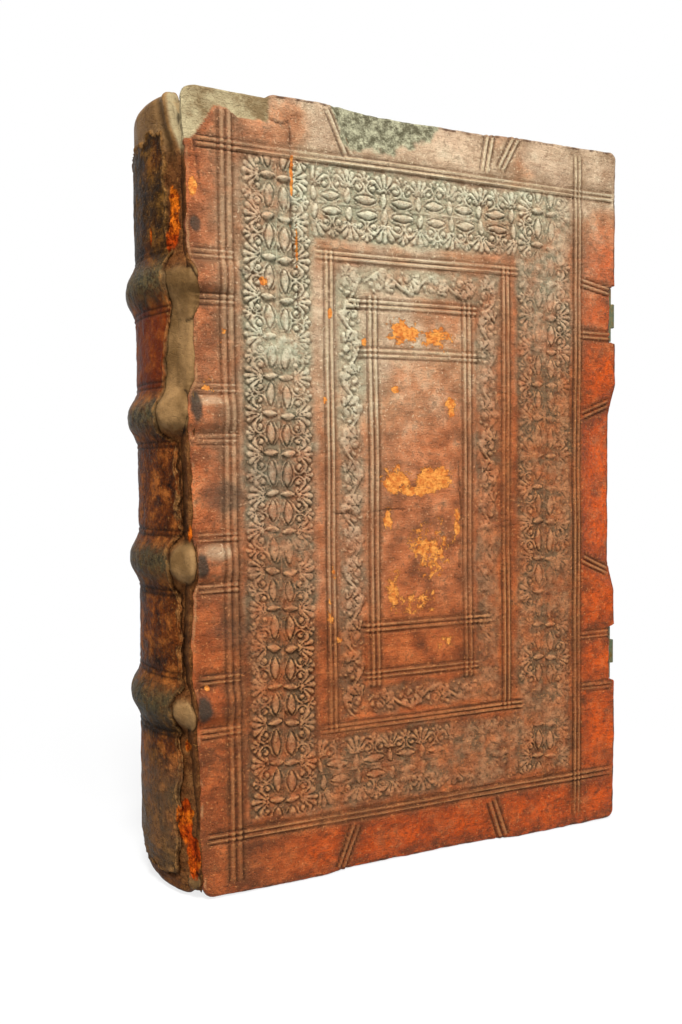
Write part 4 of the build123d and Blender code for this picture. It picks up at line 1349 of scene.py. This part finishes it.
def pale_floor():
    """Grey to the light but near white to the eye, and pure white away from the book."""
    finish = Finish("floor")
    tree = finish.tree
    rays = finish.add("LightPath")
    seen = finish.math("MAXIMUM", rays.outputs["Is Camera Ray"], rays.outputs["Is Glossy Ray"])
    seen = finish.math("MAXIMUM", seen, rays.outputs["Is Transmission Ray"])
    finish.surface(finish.range(seen, 0.0, 1.0, FLOOR_GREY, FLOOR_SEEN), 0.9)
    glow = finish.add("Emission", {"Color": (1, 1, 1, 1), "Strength": 1.0})
    reach = finish.add("VectorMath", {0: finish.place}, operation="LENGTH").outputs["Value"]
    white = finish.math("MULTIPLY", seen, finish.range(reach, GLOW_NEAR, GLOW_FAR, LEAST_GLOW, 1.0))
    blend = finish.add("MixShader", {0: white, 1: finish.shader.outputs[0], 2: glow.outputs[0]})
    tree.links.new(blend.outputs[0], tree.nodes["Material Output"].inputs["Surface"])
    return finish.material


bpy.ops.mesh.primitive_plane_add(size=FLOOR_SIZE, location=(0, 0, FLOOR_LEVEL))
floor = bpy.context.object
floor.name = "floor"
dress(floor, pale_floor())

world = bpy.data.worlds.new("studio")
world.use_nodes = True
world_tree = world.node_tree
background = world_tree.nodes["Background"]
background.inputs["Color"].default_value = (1, 1, 1, 1)
rays = world_tree.nodes.new("ShaderNodeLightPath")
shown = world_tree.nodes.new("ShaderNodeMapRange")
shown.inputs["To Min"].default_value = WORLD_LEVEL
shown.inputs["To Max"].default_value = 1.0
seen = rays.outputs["Is Camera Ray"]
for kind in ("Is Glossy Ray", "Is Transmission Ray"):
    either = world_tree.nodes.new("ShaderNodeMath")
    either.operation = "MAXIMUM"
    world_tree.links.new(seen, either.inputs[0])
    world_tree.links.new(rays.outputs[kind], either.inputs[1])
    seen = either.outputs[0]
world_tree.links.new(seen, shown.inputs["Value"])
world_tree.links.new(shown.outputs["Result"], background.inputs["Strength"])
bpy.context.scene.world = world


def area_light(name, place, target, size, power):
    lamp = bpy.data.lights.new(name, "AREA")
    lamp.shape = "DISK"
    lamp.size = size
    lamp.energy = power
    light = bpy.data.objects.new(name, lamp)
    light.location = place
    light.rotation_euler = (Vector(target) - Vector(place)).to_track_quat("-Z", "Y").to_euler()
    bpy.context.scene.collection.objects.link(light)


area_light("key", place=(-0.32, -1.09, 1.6), target=BOOK_MIDDLE, size=0.41, power=44)
area_light("sheen", place=(0.02, -1.0, 0.62), target=BOOK_MIDDLE, size=0.2, power=3)

# Camera fitted to the photograph: place from the joint, the cover face and the tail, and its three axes
LENS, SENSOR_WIDTH = 30.48, 36.0
CAMERA_PLACE = (-78.5, 334.2, 170.2)
CAMERA_RIGHT = Vector((0.92209, -0.38684, -0.01105))
CAMERA_UP = Vector((0.02767, 0.03744, 0.99892))
CAMERA_AHEAD = Vector((0.3860, 0.9214, -0.0452))
camera_data = bpy.data.cameras.new("camera")
camera_data.lens = LENS
camera_data.sensor_width = SENSOR_WIDTH
camera = bpy.data.objects.new("camera", camera_data)
axes = Matrix((CAMERA_RIGHT, CAMERA_UP, -CAMERA_AHEAD)).transposed().to_4x4()
axes.translation = (
    (JOINT_X + CAMERA_PLACE[0]) * MM,
    -(COVER_FACE + CAMERA_PLACE[1]) * MM,
    CAMERA_PLACE[2] * MM,
)
camera.matrix_world = axes
bpy.context.scene.collection.objects.link(camera)
bpy.context.scene.camera = camera
bpy.context.scene.view_settings.view_transform = "Standard"
